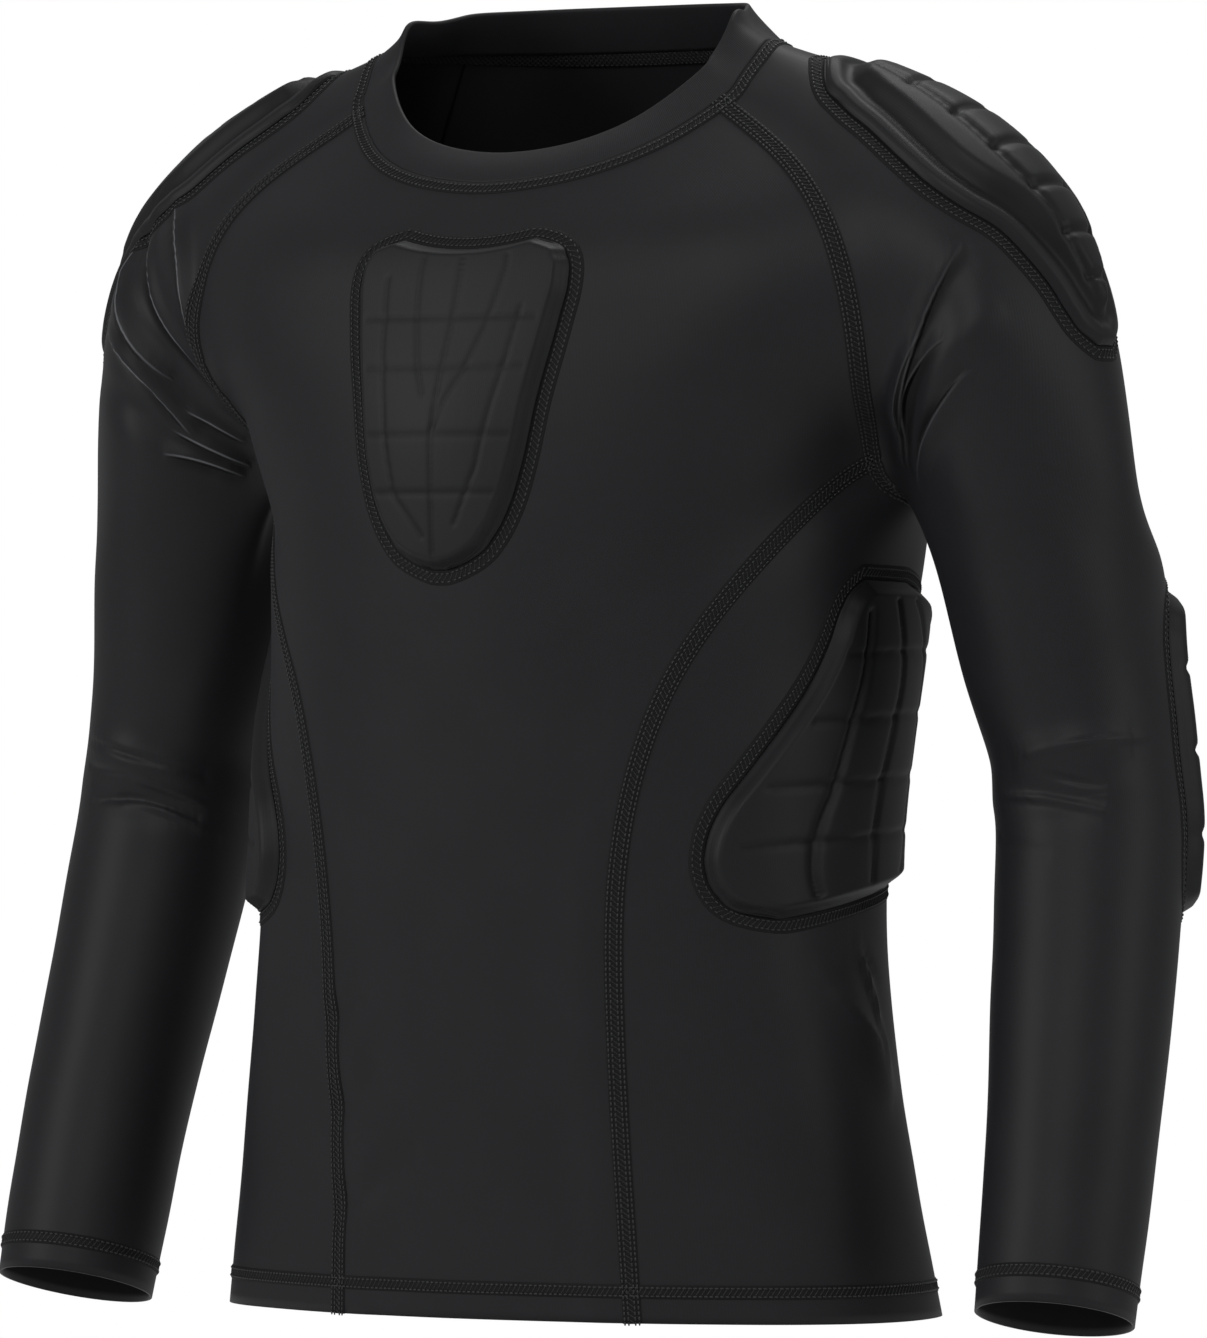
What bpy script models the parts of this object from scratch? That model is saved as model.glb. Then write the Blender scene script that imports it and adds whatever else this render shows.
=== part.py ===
"""Padded long-sleeved compression shirt, filled out as it is worn.

Metres, +Z up, the front faces -Y and the wearer's left arm is at +X. The origin is at the
middle of the neck, level with the tops of the shoulders, where the wearer holds the shirt up.

One smooth form is worked out from sections of the torso, the yoke and the sleeve. It is cut
along its seams into the cloth panels, and each panel gets its thickness. The foam pads lie on it.
"""

import math
from collections import namedtuple

import bmesh
import bpy
import numpy as np
from mathutils import Vector
from mathutils.bvhtree import BVHTree

MM = 0.001

# The elbow pads' middle, in degrees from straight outward towards the back
ELBOW_TURN = 64

# Cloth and seams
WALL = 1.5 * MM
COLLAR_WALL = 2.2 * MM
SEAM_GAP = 0.3 * MM

# Black polyester knit. The pads' covers are pulled tighter, so they shine a little more.
Finish = namedtuple("Finish", "colour roughness metallic")
KNIT = Finish((0.019, 0.020, 0.022), 0.50, 0.0)
COLLAR_KNIT = Finish((0.017, 0.018, 0.020), 0.55, 0.0)
PAD_COVER = Finish((0.016, 0.017, 0.019), 0.45, 0.0)
SHARP_ANGLE = math.radians(40)

# Sections of the torso, from under the arm down to the hem. half_width is to the side, front and
# back are from the neck's axis, side_y is where the section is widest, round_ is the power of its
# curve (2 is an ellipse) and the seams are angles from the centre front, in degrees.
Torso = namedtuple("Torso", "z half_width front back side_y front_round back_round front_seam back_seam")
TORSO = [
    Torso(-0.2220, 0.1450, 0.1178, 0.1150, 0.0120, 2.00, 2.6, 56, 124),
    Torso(-0.2650, 0.1430, 0.1140, 0.1020, 0.0080, 2.05, 2.5, 41.5, 137),
    Torso(-0.3100, 0.1412, 0.1100, 0.0915, 0.0010, 2.15, 2.4, 33, 146),
    Torso(-0.3600, 0.1412, 0.1060, 0.0795, -0.0045, 2.25, 2.4, 28, 152),
    Torso(-0.4150, 0.1465, 0.1005, 0.0755, -0.0055, 2.30, 2.35, 25.5, 155),
    Torso(-0.4750, 0.1570, 0.0945, 0.0775, -0.0015, 2.20, 2.2, 24.5, 156),
    Torso(-0.5428, 0.1680, 0.0888, 0.0902, 0.0020, 2.20, 2.2, 23.5, 157),
]

# Rings of the yoke, from under the arm up to the neck seam, then the top edge of the collar.
# front and back are on the centre line, raglan is where the sleeve is sewn on, shoulder is the
# sleeve's middle line, and turn is how far the panel's curve has turned at the raglan seam.
Yoke = namedtuple(
    "Yoke",
    "front_y front_z front_turn raglan_front arm_front shoulder arm_back raglan_back back_turn back_y back_z",
)
YOKE = [
    Yoke(-0.1175, -0.176, 85, (0.1495, -0.0090, -0.1760), (0.2115, -0.0312, -0.1830), (0.2575, 0.0220, -0.1870),
         (0.2080, 0.0800, -0.1850), (0.1480, 0.0600, -0.1780), 68, 0.1170, -0.178),
    Yoke(-0.1125, -0.145, 72, (0.1585, -0.0350, -0.1480), (0.2155, -0.0368, -0.1350), (0.2490, 0.0180, -0.1285),
         (0.2120, 0.0780, -0.1350), (0.1580, 0.0830, -0.1450), 55, 0.1190, -0.145),
    Yoke(-0.1050, -0.115, 62, (0.1625, -0.0525, -0.1120), (0.2060, -0.0355, -0.0910), (0.2318, 0.0155, -0.0800),
         (0.2020, 0.0720, -0.0880), (0.1550, 0.0950, -0.1050), 50, 0.1150, -0.105),
    Yoke(-0.0970, -0.088, 58, (0.1490, -0.0530, -0.0710), (0.1780, -0.0300, -0.0535), (0.1995, 0.0120, -0.0405),
         (0.1740, 0.0630, -0.0460), (0.1380, 0.0920, -0.0640), 50, 0.1060, -0.062),
    Yoke(-0.0870, -0.071, 60, (0.1190, -0.0415, -0.0415), (0.1360, -0.0215, -0.0225), (0.1480, 0.0040, -0.0125),
         (0.1320, 0.0420, -0.0125), (0.1100, 0.0680, -0.0270), 55, 0.0870, -0.022),
    Yoke(-0.0780, -0.0565, 68, (0.0890, -0.0350, -0.0215), (0.0945, -0.0210, -0.0070), (0.0965, -0.0070, 0.0050),
         (0.0910, 0.0140, 0.0060), (0.0790, 0.0370, 0.0080), 70, 0.0690, 0.008),
]
COLLAR_TOP = Yoke(-0.0645, -0.0435, 68, (0.0768, -0.0320, -0.0100), (0.0812, -0.0200, 0.0030),
                  (0.0830, -0.0085, 0.0172), (0.0780, 0.0090, 0.0190), (0.0680, 0.0290, 0.0235), 70, 0.0600, 0.0260)
ARMPIT = (0.1610, 0.0240, -0.1960)

# Sections of the sleeve, from under the arm down to the cuff, square to its middle line.
Sleeve = namedtuple("Sleeve", "x y z across deep")
SLEEVE = [
    Sleeve(0.2148, 0.0318, -0.2250, 0.0456, 0.0512),
    Sleeve(0.2203, 0.0350, -0.2620, 0.0434, 0.0480),
    Sleeve(0.2262, 0.0360, -0.2890, 0.0413, 0.0448),
    Sleeve(0.2291, 0.0358, -0.3050, 0.0404, 0.0435),
    Sleeve(0.2308, 0.0348, -0.3200, 0.0409, 0.0431),
    Sleeve(0.2328, 0.0329, -0.3360, 0.0405, 0.0424),
    Sleeve(0.2355, 0.0232, -0.3720, 0.0395, 0.0405),
    Sleeve(0.2393, 0.0095, -0.4200, 0.0380, 0.0385),
    Sleeve(0.2430, -0.0065, -0.4750, 0.0362, 0.0362),
    Sleeve(0.2450, -0.0245, -0.5385, 0.0342, 0.0342),
]

# Foam pads. A row runs across the pad from one angle and height to another, in degrees and metres.
# On the body and at the elbow the angles turn round a middle line. On the shoulder the rows fan out
# from a point inside it, and both values are angles: to the back, and up from level.
PadRow = namedtuple("PadRow", "angle height far_angle far_height")
CHEST_ROWS = [
    PadRow(-a, z, a, z)
    for a, z in (
        (19.5, -0.0815), (24.6, -0.0840), (27.3, -0.0900), (27.6, -0.1000), (25.7, -0.1160), (21.3, -0.1490),
        (17.9, -0.1810), (15.6, -0.1960), (12.5, -0.2080), (8.6, -0.2170), (4.4, -0.2220),
    )
]
RIB_ROWS = [
    PadRow(88, -0.2265, 103, -0.2275), PadRow(85, -0.2310, 110, -0.2310), PadRow(82.5, -0.2385, 116.5, -0.2370),
    PadRow(79.5, -0.2530, 123.5, -0.2490), PadRow(74.5, -0.2720, 129, -0.2650), PadRow(68.5, -0.2900, 131, -0.2810),
    PadRow(62, -0.3090, 132, -0.2980), PadRow(57, -0.3240, 132, -0.3130), PadRow(54.5, -0.3370, 131, -0.3250),
    PadRow(54, -0.3500, 129, -0.3350), PadRow(56, -0.3610, 125, -0.3430), PadRow(60, -0.3680, 119, -0.3490),
    PadRow(67, -0.3710, 110, -0.3540),
]
SHOULDER_ROWS = [
    PadRow(-w, e, w, e)
    for w, e in (
        (7, 97), (12, 95), (16, 90), (19.5, 81), (22.5, 71), (24, 60), (22.5, 50), (18.5, 41), (15.5, 32),
        (12.5, 24), (10, 17), (7, 12), (3, 9),
    )
]
ELBOW_ROWS = [
    PadRow(ELBOW_TURN - a, z, ELBOW_TURN + a, z)
    for a, z in (
        (17, -0.2300), (31, -0.2350), (41, -0.2460), (47, -0.2660), (50, -0.2890), (50, -0.3120), (47, -0.3340),
        (41, -0.3530), (31, -0.3650), (17, -0.3700),
    )
]
SHOULDER_CENTRE = (0.1400, 0.0140, -0.1450)

# Each pad's rows, the fractions of its width and length where it is quilted by grooves, and how far
# it slopes up from its edge. The clearance is more where the cloth under it is more rounded.
PadShape = namedtuple("PadShape", "chart rows grooves_across grooves_along slope clearance")
PAD_THICKNESS = 7.0 * MM
PAD_EDGE = 1.4 * MM
PAD_RIM_LIFT = 0.7 * MM
GROOVE_DEPTH = 2.2 * MM

# Folds of the cloth: a ridge (or a crease, where height is negative) along the curve from start
# through middle to end, half of it within width
Fold = namedtuple("Fold", "start middle end width height")
FOLDS = [
    Fold((0.212, -0.031, -0.086), (0.187, -0.041, -0.128), (0.168, -0.018, -0.176), 0.0070, -0.0035),
    Fold((0.222, -0.028, -0.110), (0.196, -0.038, -0.142), (0.173, -0.018, -0.182), 0.0060, 0.0035),
    Fold((-0.199, -0.010, -0.056), (-0.171, -0.046, -0.098), (-0.160, -0.038, -0.146), 0.0075, 0.0040),
    Fold((-0.207, -0.020, -0.070), (-0.190, -0.043, -0.110), (-0.166, -0.034, -0.152), 0.0060, -0.0030),
    Fold((-0.223, -0.018, -0.088), (-0.207, -0.037, -0.117), (-0.176, -0.030, -0.158), 0.0070, 0.0040),
    Fold((-0.240, 0.004, -0.130), (-0.205, -0.036, -0.150), (-0.170, -0.016, -0.176), 0.0070, -0.0035),
    Fold((0.212, -0.006, -0.302), (0.243, -0.006, -0.297), (0.262, 0.014, -0.296), 0.0065, 0.0025),
    Fold((0.205, -0.002, -0.318), (0.235, -0.008, -0.319), (0.256, 0.001, -0.322), 0.0065, -0.0025),
    Fold((-0.257, 0.006, -0.296), (-0.230, -0.008, -0.303), (-0.198, 0.008, -0.312), 0.0065, 0.0025),
    Fold((-0.250, -0.002, -0.322), (-0.224, -0.007, -0.323), (-0.199, 0.009, -0.332), 0.0065, -0.0025),
    Fold((0.142, -0.028, -0.396), (0.148, -0.008, -0.424), (0.153, 0.004, -0.452), 0.0080, 0.0030),
]

# Strips between two lines of the form: half a front, a side, half a back and the outer sleeve
FRONT_STRIPS = 3
SIDE_STRIPS = 5
BACK_STRIPS = 3
SLEEVE_STRIPS = 8
PANELS = ["front", "back", "side", "sleeve", "collar"]
SPLIT_PANELS = ["side", "sleeve"]

# The sleeve's strips under the arm are narrow at the armpit, and even from this row down
ARMPIT_HALF_ANGLE = 28
EVEN_SLEEVE_ROW = 3

# The form is smoothed and corrected until its surface passes through the tables' points
SETTLING_ROUNDS = 4
FORM_LEVELS = 3
PANEL_LEVELS = 1
SAME_POINT = 0.01 * MM


def torso_point(section, angle):
    """The point of a torso section at an angle in degrees from the centre front."""
    s, c = math.sin(math.radians(angle)), math.cos(math.radians(angle))
    power = 2 / (section.front_round if c > 0 else section.back_round)
    reach = section.front + section.side_y if c > 0 else section.back - section.side_y
    y = section.side_y - math.copysign(abs(c) ** power, c) * reach
    return (section.half_width * abs(s) ** power, y, section.z)


def half_panel_row(centre_y, centre_z, seam, turn, strips):
    """Points of a yoke ring from the centre line to the raglan seam, on part of an ellipse."""
    last = math.radians(turn)
    row = []
    for i in range(strips + 1):
        t = last * i / strips
        across = math.sin(t) / math.sin(last)
        along = (1 - math.cos(t)) / (1 - math.cos(last))
        row.append((seam[0] * across, centre_y + (seam[1] - centre_y) * along, centre_z + (seam[2] - centre_z) * along))
    return row


def with_middles(points, before, after):
    """The points with one more between each two, on the smooth curve that passes through them."""
    run = [np.array(p, float) for p in [before, *points, after]]
    found = [run[1]]
    for a, b, c, d in zip(run, run[1:], run[2:], run[3:]):
        found += [(9 * (b + c) - (a + d)) / 16, c]
    return found


def yoke_rows(ring):
    """A yoke ring as its front, sleeve and back points, on the wearer's left."""
    front = half_panel_row(ring.front_y, ring.front_z, ring.raglan_front, ring.front_turn, FRONT_STRIPS)
    back = half_panel_row(ring.back_y, ring.back_z, ring.raglan_back, ring.back_turn, BACK_STRIPS)[::-1]
    keys = [ring.raglan_front, ring.arm_front, ring.shoulder, ring.arm_back, ring.raglan_back]
    return front, with_middles(keys, front[-2], back[1]), back


def armpit_arc():
    """Points under the arm from the front seam to the back seam, through the armpit."""
    first, last, middle = (np.array(p) for p in (YOKE[0].raglan_front, YOKE[0].raglan_back, ARMPIT))
    pull = 2 * middle - (first + last) / 2
    shares = np.linspace(0, 1, SIDE_STRIPS + 1)
    return [(1 - w) ** 2 * first + 2 * w * (1 - w) * pull + w**2 * last for w in shares]


def sleeve_frames():
    """For each sleeve section its centre, its outward and forward directions, and its two radii."""
    centres = [np.array(s[:3]) for s in SLEEVE]
    frames = []
    for i, section in enumerate(SLEEVE):
        along = centres[min(i + 1, len(centres) - 1)] - centres[max(i - 1, 0)]
        along /= np.linalg.norm(along)
        forward = np.array([0, -1, 0]) - along * -along[1]
        forward /= np.linalg.norm(forward)
        outward = np.cross(along, forward)
        frames.append((centres[i], outward * math.copysign(1, outward[0]), forward, section.across, section.deep))
    return frames


def sleeve_ring(frame, angles):
    """Points round a sleeve section. Angle 0 is outward and 90 forward."""
    centre, outward, forward, across, deep = frame
    turns = [math.radians(a) for a in angles]
    return [centre + outward * across * math.cos(t) + forward * deep * math.sin(t) for t in turns]


def sleeve_angles(row):
    """Angles of the sleeve's outer and under points at a row, counted from the armpit."""
    even = 360 / (SLEEVE_STRIPS + SIDE_STRIPS)
    ease = min(1.0, row / EVEN_SLEEVE_ROW)
    inner = ARMPIT_HALF_ANGLE + (even * SIDE_STRIPS / 2 - ARMPIT_HALF_ANGLE) * ease
    outer = np.linspace(180 - inner, inner - 180, SLEEVE_STRIPS + 1)
    under = np.linspace(180 - inner, 180 + inner, SIDE_STRIPS + 1)
    return outer, under


def half_form_grids():
    """The left half of the form as grids of points, each with its panel."""
    rings = [yoke_rows(ring) for ring in YOKE]
    top = yoke_rows(COLLAR_TOP)
    arc = armpit_arc()
    lower = []
    for section in TORSO:
        runs = [
            np.linspace(0, section.front_seam, FRONT_STRIPS + 1),
            np.linspace(section.front_seam, section.back_seam, SIDE_STRIPS + 1),
            np.linspace(section.back_seam, 180, BACK_STRIPS + 1),
        ]
        lower.append([[torso_point(section, a) for a in run] for run in runs])
    frames = sleeve_frames()
    outer, under = [rings[0][1]], [arc]
    for row, frame in enumerate(frames, start=1):
        outer_angles, under_angles = sleeve_angles(row)
        outer.append(sleeve_ring(frame, outer_angles))
        under.append(sleeve_ring(frame, under_angles))
    yield "front", [r[0] for r in rings]
    yield "front", [row[0] for row in lower][::-1] + [rings[0][0]]
    yield "side", [row[1] for row in lower][::-1] + [arc]
    yield "back", [row[2] for row in lower][::-1] + [rings[0][2]]
    yield "back", [r[2] for r in rings]
    yield "sleeve", [r[1] for r in rings]
    yield "sleeve", outer[::-1]
    yield "sleeve", [row[::-1] for row in under[::-1]]
    for i in range(3):
        yield "collar", [rings[-1][i], top[i]]


def join_rows(bm, low, high):
    """Quads between two rows of vertices."""
    return [bm.faces.new(corners) for corners in zip(low, low[1:], high[1:], high)]


def add_grid(bm, rows, material):
    """A grid of quads through rows of points. It faces out where the rows rise and run to the left."""
    points = [[bm.verts.new(Vector(p)) for p in row] for row in rows]
    for low, high in zip(points, points[1:]):
        for face in join_rows(bm, low, high):
            face.material_index = material


def make_form():
    """The whole form as a guide: the left half, mirrored and smoothed, passing through its points."""
    bm = bmesh.new()
    for name, rows in half_form_grids():
        add_grid(bm, rows, PANELS.index(name))
    bmesh.ops.remove_doubles(bm, verts=bm.verts, dist=SAME_POINT)
    for v in bm.verts:
        if abs(v.co.x) < SAME_POINT:
            v.co.x = 0
    mesh = bpy.data.meshes.new("shirt_form")
    bm.to_mesh(mesh)
    bm.free()
    form = bpy.data.objects.new("shirt_form", mesh)
    guides.objects.link(form)
    form.hide_render = True
    form.display_type = "WIRE"
    mirror = form.modifiers.new("Mirror", "MIRROR")
    mirror.merge_threshold = SAME_POINT
    smooth = form.modifiers.new("Subdivision", "SUBSURF")
    smooth.levels = smooth.render_levels = 1
    target = np.array([v.co for v in mesh.vertices])
    cage = target.copy()
    for _ in range(SETTLING_ROUNDS):
        smoothed = evaluated(form)
        limit = np.array([smoothed.vertices[i].co for i in range(len(target))])
        cage += target - limit
        mesh.vertices.foreach_set("co", cage.ravel())
        mesh.update()
        bpy.data.meshes.remove(smoothed)
    return form


def evaluated(obj):
    """A copy of the object's mesh with its modifiers applied."""
    bpy.context.view_layer.update()
    graph = bpy.context.evaluated_depsgraph_get()
    return bpy.data.meshes.new_from_object(obj.evaluated_get(graph))


def triangulate(mesh):
    bm = bmesh.new()
    bm.from_mesh(mesh)
    bmesh.ops.triangulate(bm, faces=bm.faces, quad_method="SHORT_EDGE")
    bm.to_mesh(mesh)
    bm.free()


def surface_tree(mesh):
    return BVHTree.FromPolygons([v.co for v in mesh.vertices], [f.vertices for f in mesh.polygons])


def set_levels(form, levels):
    form.modifiers["Subdivision"].levels = form.modifiers["Subdivision"].render_levels = levels


def panel_faces(mesh):
    """The faces of each cloth piece, by the piece's name."""
    found = {}
    for face in mesh.polygons:
        name = PANELS[face.material_index]
        if name in SPLIT_PANELS:
            name += "_left" if face.center.x > 0 else "_right"
        found.setdefault(name, []).append(face.index)
    return found


def inward_offsets(bm, normals):
    """For each vertex on an open edge, the step along the cloth that moves its edges in by half a gap."""
    steps = {}
    for edge in bm.edges:
        if edge.is_boundary:
            loop = edge.link_loops[0]
            along = loop.link_loop_next.vert.co - loop.vert.co
            for v in edge.verts:
                steps.setdefault(v.index, []).append(normals[v.index].cross(along).normalized())
    return {i: (a + b) * SEAM_GAP / 2 / (1 + a.dot(b)) for i, (a, b) in steps.items()}


def along_curve(fold, steps=24):
    """Points of a fold's curve, with the share of its height that it has there."""
    start, middle, end = (np.array(p) for p in (fold.start, fold.middle, fold.end))
    pull = 2 * middle - (start + end) / 2
    shares = np.linspace(0, 1, steps)
    points = [(1 - w) ** 2 * start + 2 * w * (1 - w) * pull + w**2 * end for w in shares]
    return np.array(points), np.sin(np.pi * shares) ** 0.7


def raise_folds(mesh, folds):
    """Raises a mesh's vertices along its normals where the folds run."""
    places = np.array([v.co for v in mesh.vertices])
    normals = np.array([v.normal for v in mesh.vertices])
    lift = np.zeros(len(places))
    for fold in folds:
        points, share = along_curve(fold)
        distance = np.linalg.norm(places[:, None] - points[None], axis=2)
        nearest = distance.argmin(axis=1)
        away = distance.min(axis=1) / fold.width
        lift += fold.height * share[nearest] * np.exp(-(away**2) * math.log(2))
    mesh.vertices.foreach_set("co", (places + normals * lift[:, None]).ravel())
    mesh.update()


def torso_ray(angle, height):
    """A level ray out from the neck's axis, at an angle from the front."""
    turn = math.radians(angle)
    return (0, 0, height), (math.sin(turn), -math.cos(turn), 0)


def shoulder_ray(angle, height):
    """A ray out from inside the shoulder, at an angle to the back and one up from level."""
    back, up = math.radians(angle), math.radians(height)
    return SHOULDER_CENTRE, (math.cos(up) * math.cos(back), math.sin(back), math.sin(up) * math.cos(back))


def elbow_ray(angle, height):
    """A level ray out from the sleeve's middle line."""
    turn = math.radians(angle)
    heights = [-s.z for s in SLEEVE]
    centre = [np.interp(-height, heights, [s[i] for s in SLEEVE]) for i in (0, 1)]
    return (*centre, height), (math.cos(turn), math.sin(turn), 0)


def row_at(rows, share):
    """A pad's row at a share of its length."""
    middles = [(r.height + r.far_height) / 2 for r in rows]
    shares = [(m - middles[0]) / (middles[-1] - middles[0]) for m in middles]
    return [np.interp(share, shares, [r[i] for r in rows]) for i in range(4)]


def stations(length, slope, grooves):
    """Shares of a length for a pad's edges, the tops of its slopes, its grooves and the blocks between."""
    rim = slope / length
    cuts = [rim, *(rim + (1 - 2 * rim) * g for g in grooves), 1 - rim]
    found = [0.0, rim]
    for a, b in zip(cuts, cuts[1:]):
        found += [(a + b) / 2, b]
    return found + [1.0]


def new_object(name, bm, finish):
    """A sub-part with its own material, from a finished bmesh."""
    mesh = bpy.data.meshes.new(name)
    bm.to_mesh(mesh)
    bm.free()
    mesh.shade_smooth()
    mesh.set_sharp_from_angle(angle=SHARP_ANGLE)
    material = bpy.data.materials.new(name + "_cloth")
    material.use_nodes = True
    surface = material.node_tree.nodes["Principled BSDF"]
    surface.inputs["Base Color"].default_value = (*finish.colour, 1)
    surface.inputs["Roughness"].default_value = finish.roughness
    surface.inputs["Metallic"].default_value = finish.metallic
    mesh.materials.append(material)
    shirt.objects.link(bpy.data.objects.new(name, mesh))


def pad_point(shape, side, row, share):
    """The place under a pad at a share of its row, outside both the form and its faceted cloth."""
    angle = row[0] + (row[2] - row[0]) * share
    height = row[1] + (row[3] - row[1]) * share
    origin, direction = shape.chart(angle, height)
    mirror = Vector((side, 1, 1))
    start = Vector(origin) * mirror
    ray = (start, Vector(direction) * mirror)
    even, normal = smooth_form.ray_cast(*ray)[:2]
    on_cloth = cloth.ray_cast(*ray)[0]
    return max(even, on_cloth, key=lambda p: (p - start).length), normal


def pad_length(shape, side):
    """A pad's length along its middle line."""
    line = [pad_point(shape, side, row_at(shape.rows, v), 0.5)[0] for v in np.linspace(0, 1, 9)]
    return sum((b - a).length for a, b in zip(line, line[1:]))


def row_stations(shape, side, row):
    """The shares of a row where the pad has its points. A short row is taken as four slopes wide."""
    width = (pad_point(shape, side, row, 1)[0] - pad_point(shape, side, row, 0)[0]).length
    return stations(max(width, 4 * shape.slope), shape.slope, shape.grooves_across)


def is_groove(index, count):
    """Grooves are at the odd stations, but not at the tops of the two slopes."""
    return index % 2 == 1 and 1 < index < count - 2


def make_pad(name, side, shape):
    """A quilted foam pad: its plain inside lies just off the cloth, and its blocks are raised."""
    along = stations(pad_length(shape, side), shape.slope, shape.grooves_along)
    bm = bmesh.new()
    under = []
    over = []
    for j, v in enumerate(along):
        row = row_at(shape.rows, v)
        across = row_stations(shape, side, row)
        under.append([])
        over.append([])
        for i, u in enumerate(across):
            point, normal = pad_point(shape, side, row, u)
            border = i in (0, len(across) - 1) or j in (0, len(along) - 1)
            off = shape.clearance
            raised = PAD_THICKNESS
            if border:
                off += PAD_RIM_LIFT
                raised = PAD_EDGE
            elif is_groove(i, len(across)) or is_groove(j, len(along)):
                raised -= GROOVE_DEPTH
            under[-1].append(bm.verts.new(point + normal * off))
            over[-1].append(bm.verts.new(point + normal * (off + raised)))
    for grid in (under, over):
        for low, high in zip(grid, grid[1:]):
            join_rows(bm, low, high)
    join_rows(bm, under[0], over[0])
    join_rows(bm, under[-1], over[-1])
    for i in (0, -1):
        join_rows(bm, [r[i] for r in under], [r[i] for r in over])
    bmesh.ops.recalc_face_normals(bm, faces=bm.faces)
    new_object(name, bm, PAD_COVER)


def cloth_wall(name, mesh, faces, wall, finish):
    """A closed wall of cloth under some faces of the form. Its rim follows the form's own normals."""
    bm = bmesh.new()
    outer = {}
    for f in faces:
        corners = mesh.polygons[f].vertices
        for i in corners:
            if i not in outer:
                outer[i] = bm.verts.new(mesh.vertices[i].co)
        bm.faces.new([outer[i] for i in corners])
    bm.verts.index_update()
    normals = {outer[i].index: mesh.vertices[i].normal.copy() for i in outer}
    place = {outer[i]: i for i in outer}
    bm.faces.ensure_lookup_table()
    bm.normal_update()
    steps = inward_offsets(bm, normals)
    rim = [e for e in bm.edges if e.is_boundary]
    top_faces = list(bm.faces)
    under = {}
    for v in list(bm.verts):
        v.co += steps.get(v.index, Vector((0, 0, 0)))
        under[v] = bm.verts.new(v.co - normals[v.index] * wall)
    for face in top_faces:
        bm.faces.new([under[v] for v in reversed(face.verts)])
    # Two panels meet rim to rim, so both cut each quad of the rim along the same diagonal
    for edge in rim:
        first = edge.link_loops[0].vert
        second = edge.other_vert(first)
        low, high = sorted((first, second), key=place.get)
        bm.faces.new((second, first, under[high]))
        bm.faces.new((low, under[first], under[second]))
    new_object(name, bm, finish)


for old_object in list(bpy.data.objects):
    bpy.data.objects.remove(old_object)
shirt = bpy.data.collections.new("padded_compression_shirt")
guides = bpy.data.collections.new("guides")
for collection in (shirt, guides):
    bpy.context.scene.collection.children.link(collection)

# The form, and the cloth panels cut from it
form = make_form()
set_levels(form, FORM_LEVELS)
smooth_form = surface_tree(evaluated(form))
set_levels(form, PANEL_LEVELS)
panel_mesh = evaluated(form)
raise_folds(panel_mesh, FOLDS)
triangulate(panel_mesh)
cloth = surface_tree(panel_mesh)
for piece, face_list in panel_faces(panel_mesh).items():
    if piece == "collar":
        cloth_wall(piece, panel_mesh, face_list, COLLAR_WALL, COLLAR_KNIT)
    else:
        cloth_wall(piece, panel_mesh, face_list, WALL, KNIT)

# The foam pads
CHEST = PadShape(
    torso_ray, CHEST_ROWS, (0.17, 0.33, 0.50, 0.67, 0.83), (0.22, 0.39, 0.60, 0.78), 5 * MM, 0.5 * MM
)
RIBS = PadShape(torso_ray, RIB_ROWS, (0.18, 0.40, 0.62, 0.82), (0.20, 0.40, 0.60, 0.80), 6 * MM, 1.35 * MM)
SHOULDER = PadShape(shoulder_ray, SHOULDER_ROWS, (0.3, 0.7), (0.17, 0.33, 0.50, 0.67, 0.83), 9 * MM, 0.9 * MM)
ELBOW = PadShape(elbow_ray, ELBOW_ROWS, (0.25, 0.50, 0.75), (0.25, 0.50, 0.75), 7 * MM, 1.15 * MM)
make_pad("chest_pad", 1, CHEST)
for side, side_name in ((1, "left"), (-1, "right")):
    make_pad("rib_pad_" + side_name, side, RIBS)
    make_pad("shoulder_pad_" + side_name, side, SHOULDER)
    make_pad("elbow_pad_" + side_name, side, ELBOW)
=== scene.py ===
import math
from collections import namedtuple

import bmesh
import bpy
import numpy as np
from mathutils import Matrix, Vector, noise
from mathutils.bvhtree import BVHTree


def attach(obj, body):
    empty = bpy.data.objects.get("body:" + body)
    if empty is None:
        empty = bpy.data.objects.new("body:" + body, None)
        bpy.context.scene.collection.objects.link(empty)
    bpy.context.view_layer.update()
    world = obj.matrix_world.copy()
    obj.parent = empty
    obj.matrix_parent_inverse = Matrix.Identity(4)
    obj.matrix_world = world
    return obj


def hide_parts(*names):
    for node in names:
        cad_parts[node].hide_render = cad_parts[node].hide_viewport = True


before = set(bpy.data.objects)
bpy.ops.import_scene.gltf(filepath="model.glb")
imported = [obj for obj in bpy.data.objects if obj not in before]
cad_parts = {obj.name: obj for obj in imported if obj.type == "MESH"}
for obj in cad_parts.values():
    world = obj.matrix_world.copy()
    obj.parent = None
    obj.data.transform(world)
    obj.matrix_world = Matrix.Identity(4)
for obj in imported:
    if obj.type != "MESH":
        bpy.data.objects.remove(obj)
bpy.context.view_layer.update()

MM = 0.001


# The studio: a pale floor under a white room, a large soft light on each side of the camera, whose
# light the body keeps off the insides of the arms, and weaker ones in front and above.
def feed(tree, node, values):
    """Sets a node's inputs, each to a number, a colour or another node's output."""
    for name, value in values.items():
        if isinstance(value, bpy.types.NodeSocket):
            tree.links.new(value, node.inputs[name])
        else:
            node.inputs[name].default_value = value


def add_node(tree, kind, values={}, **settings):
    node = tree.nodes.new("ShaderNode" + kind)
    for name, value in settings.items():
        setattr(node, name, value)
    feed(tree, node, values)
    return node


def new_finish(name, values):
    """A material whose shader has these values."""
    material = bpy.data.materials.new(name)
    material.use_nodes = True
    feed(material.node_tree, material.node_tree.nodes["Principled BSDF"], values)
    return material


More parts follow.
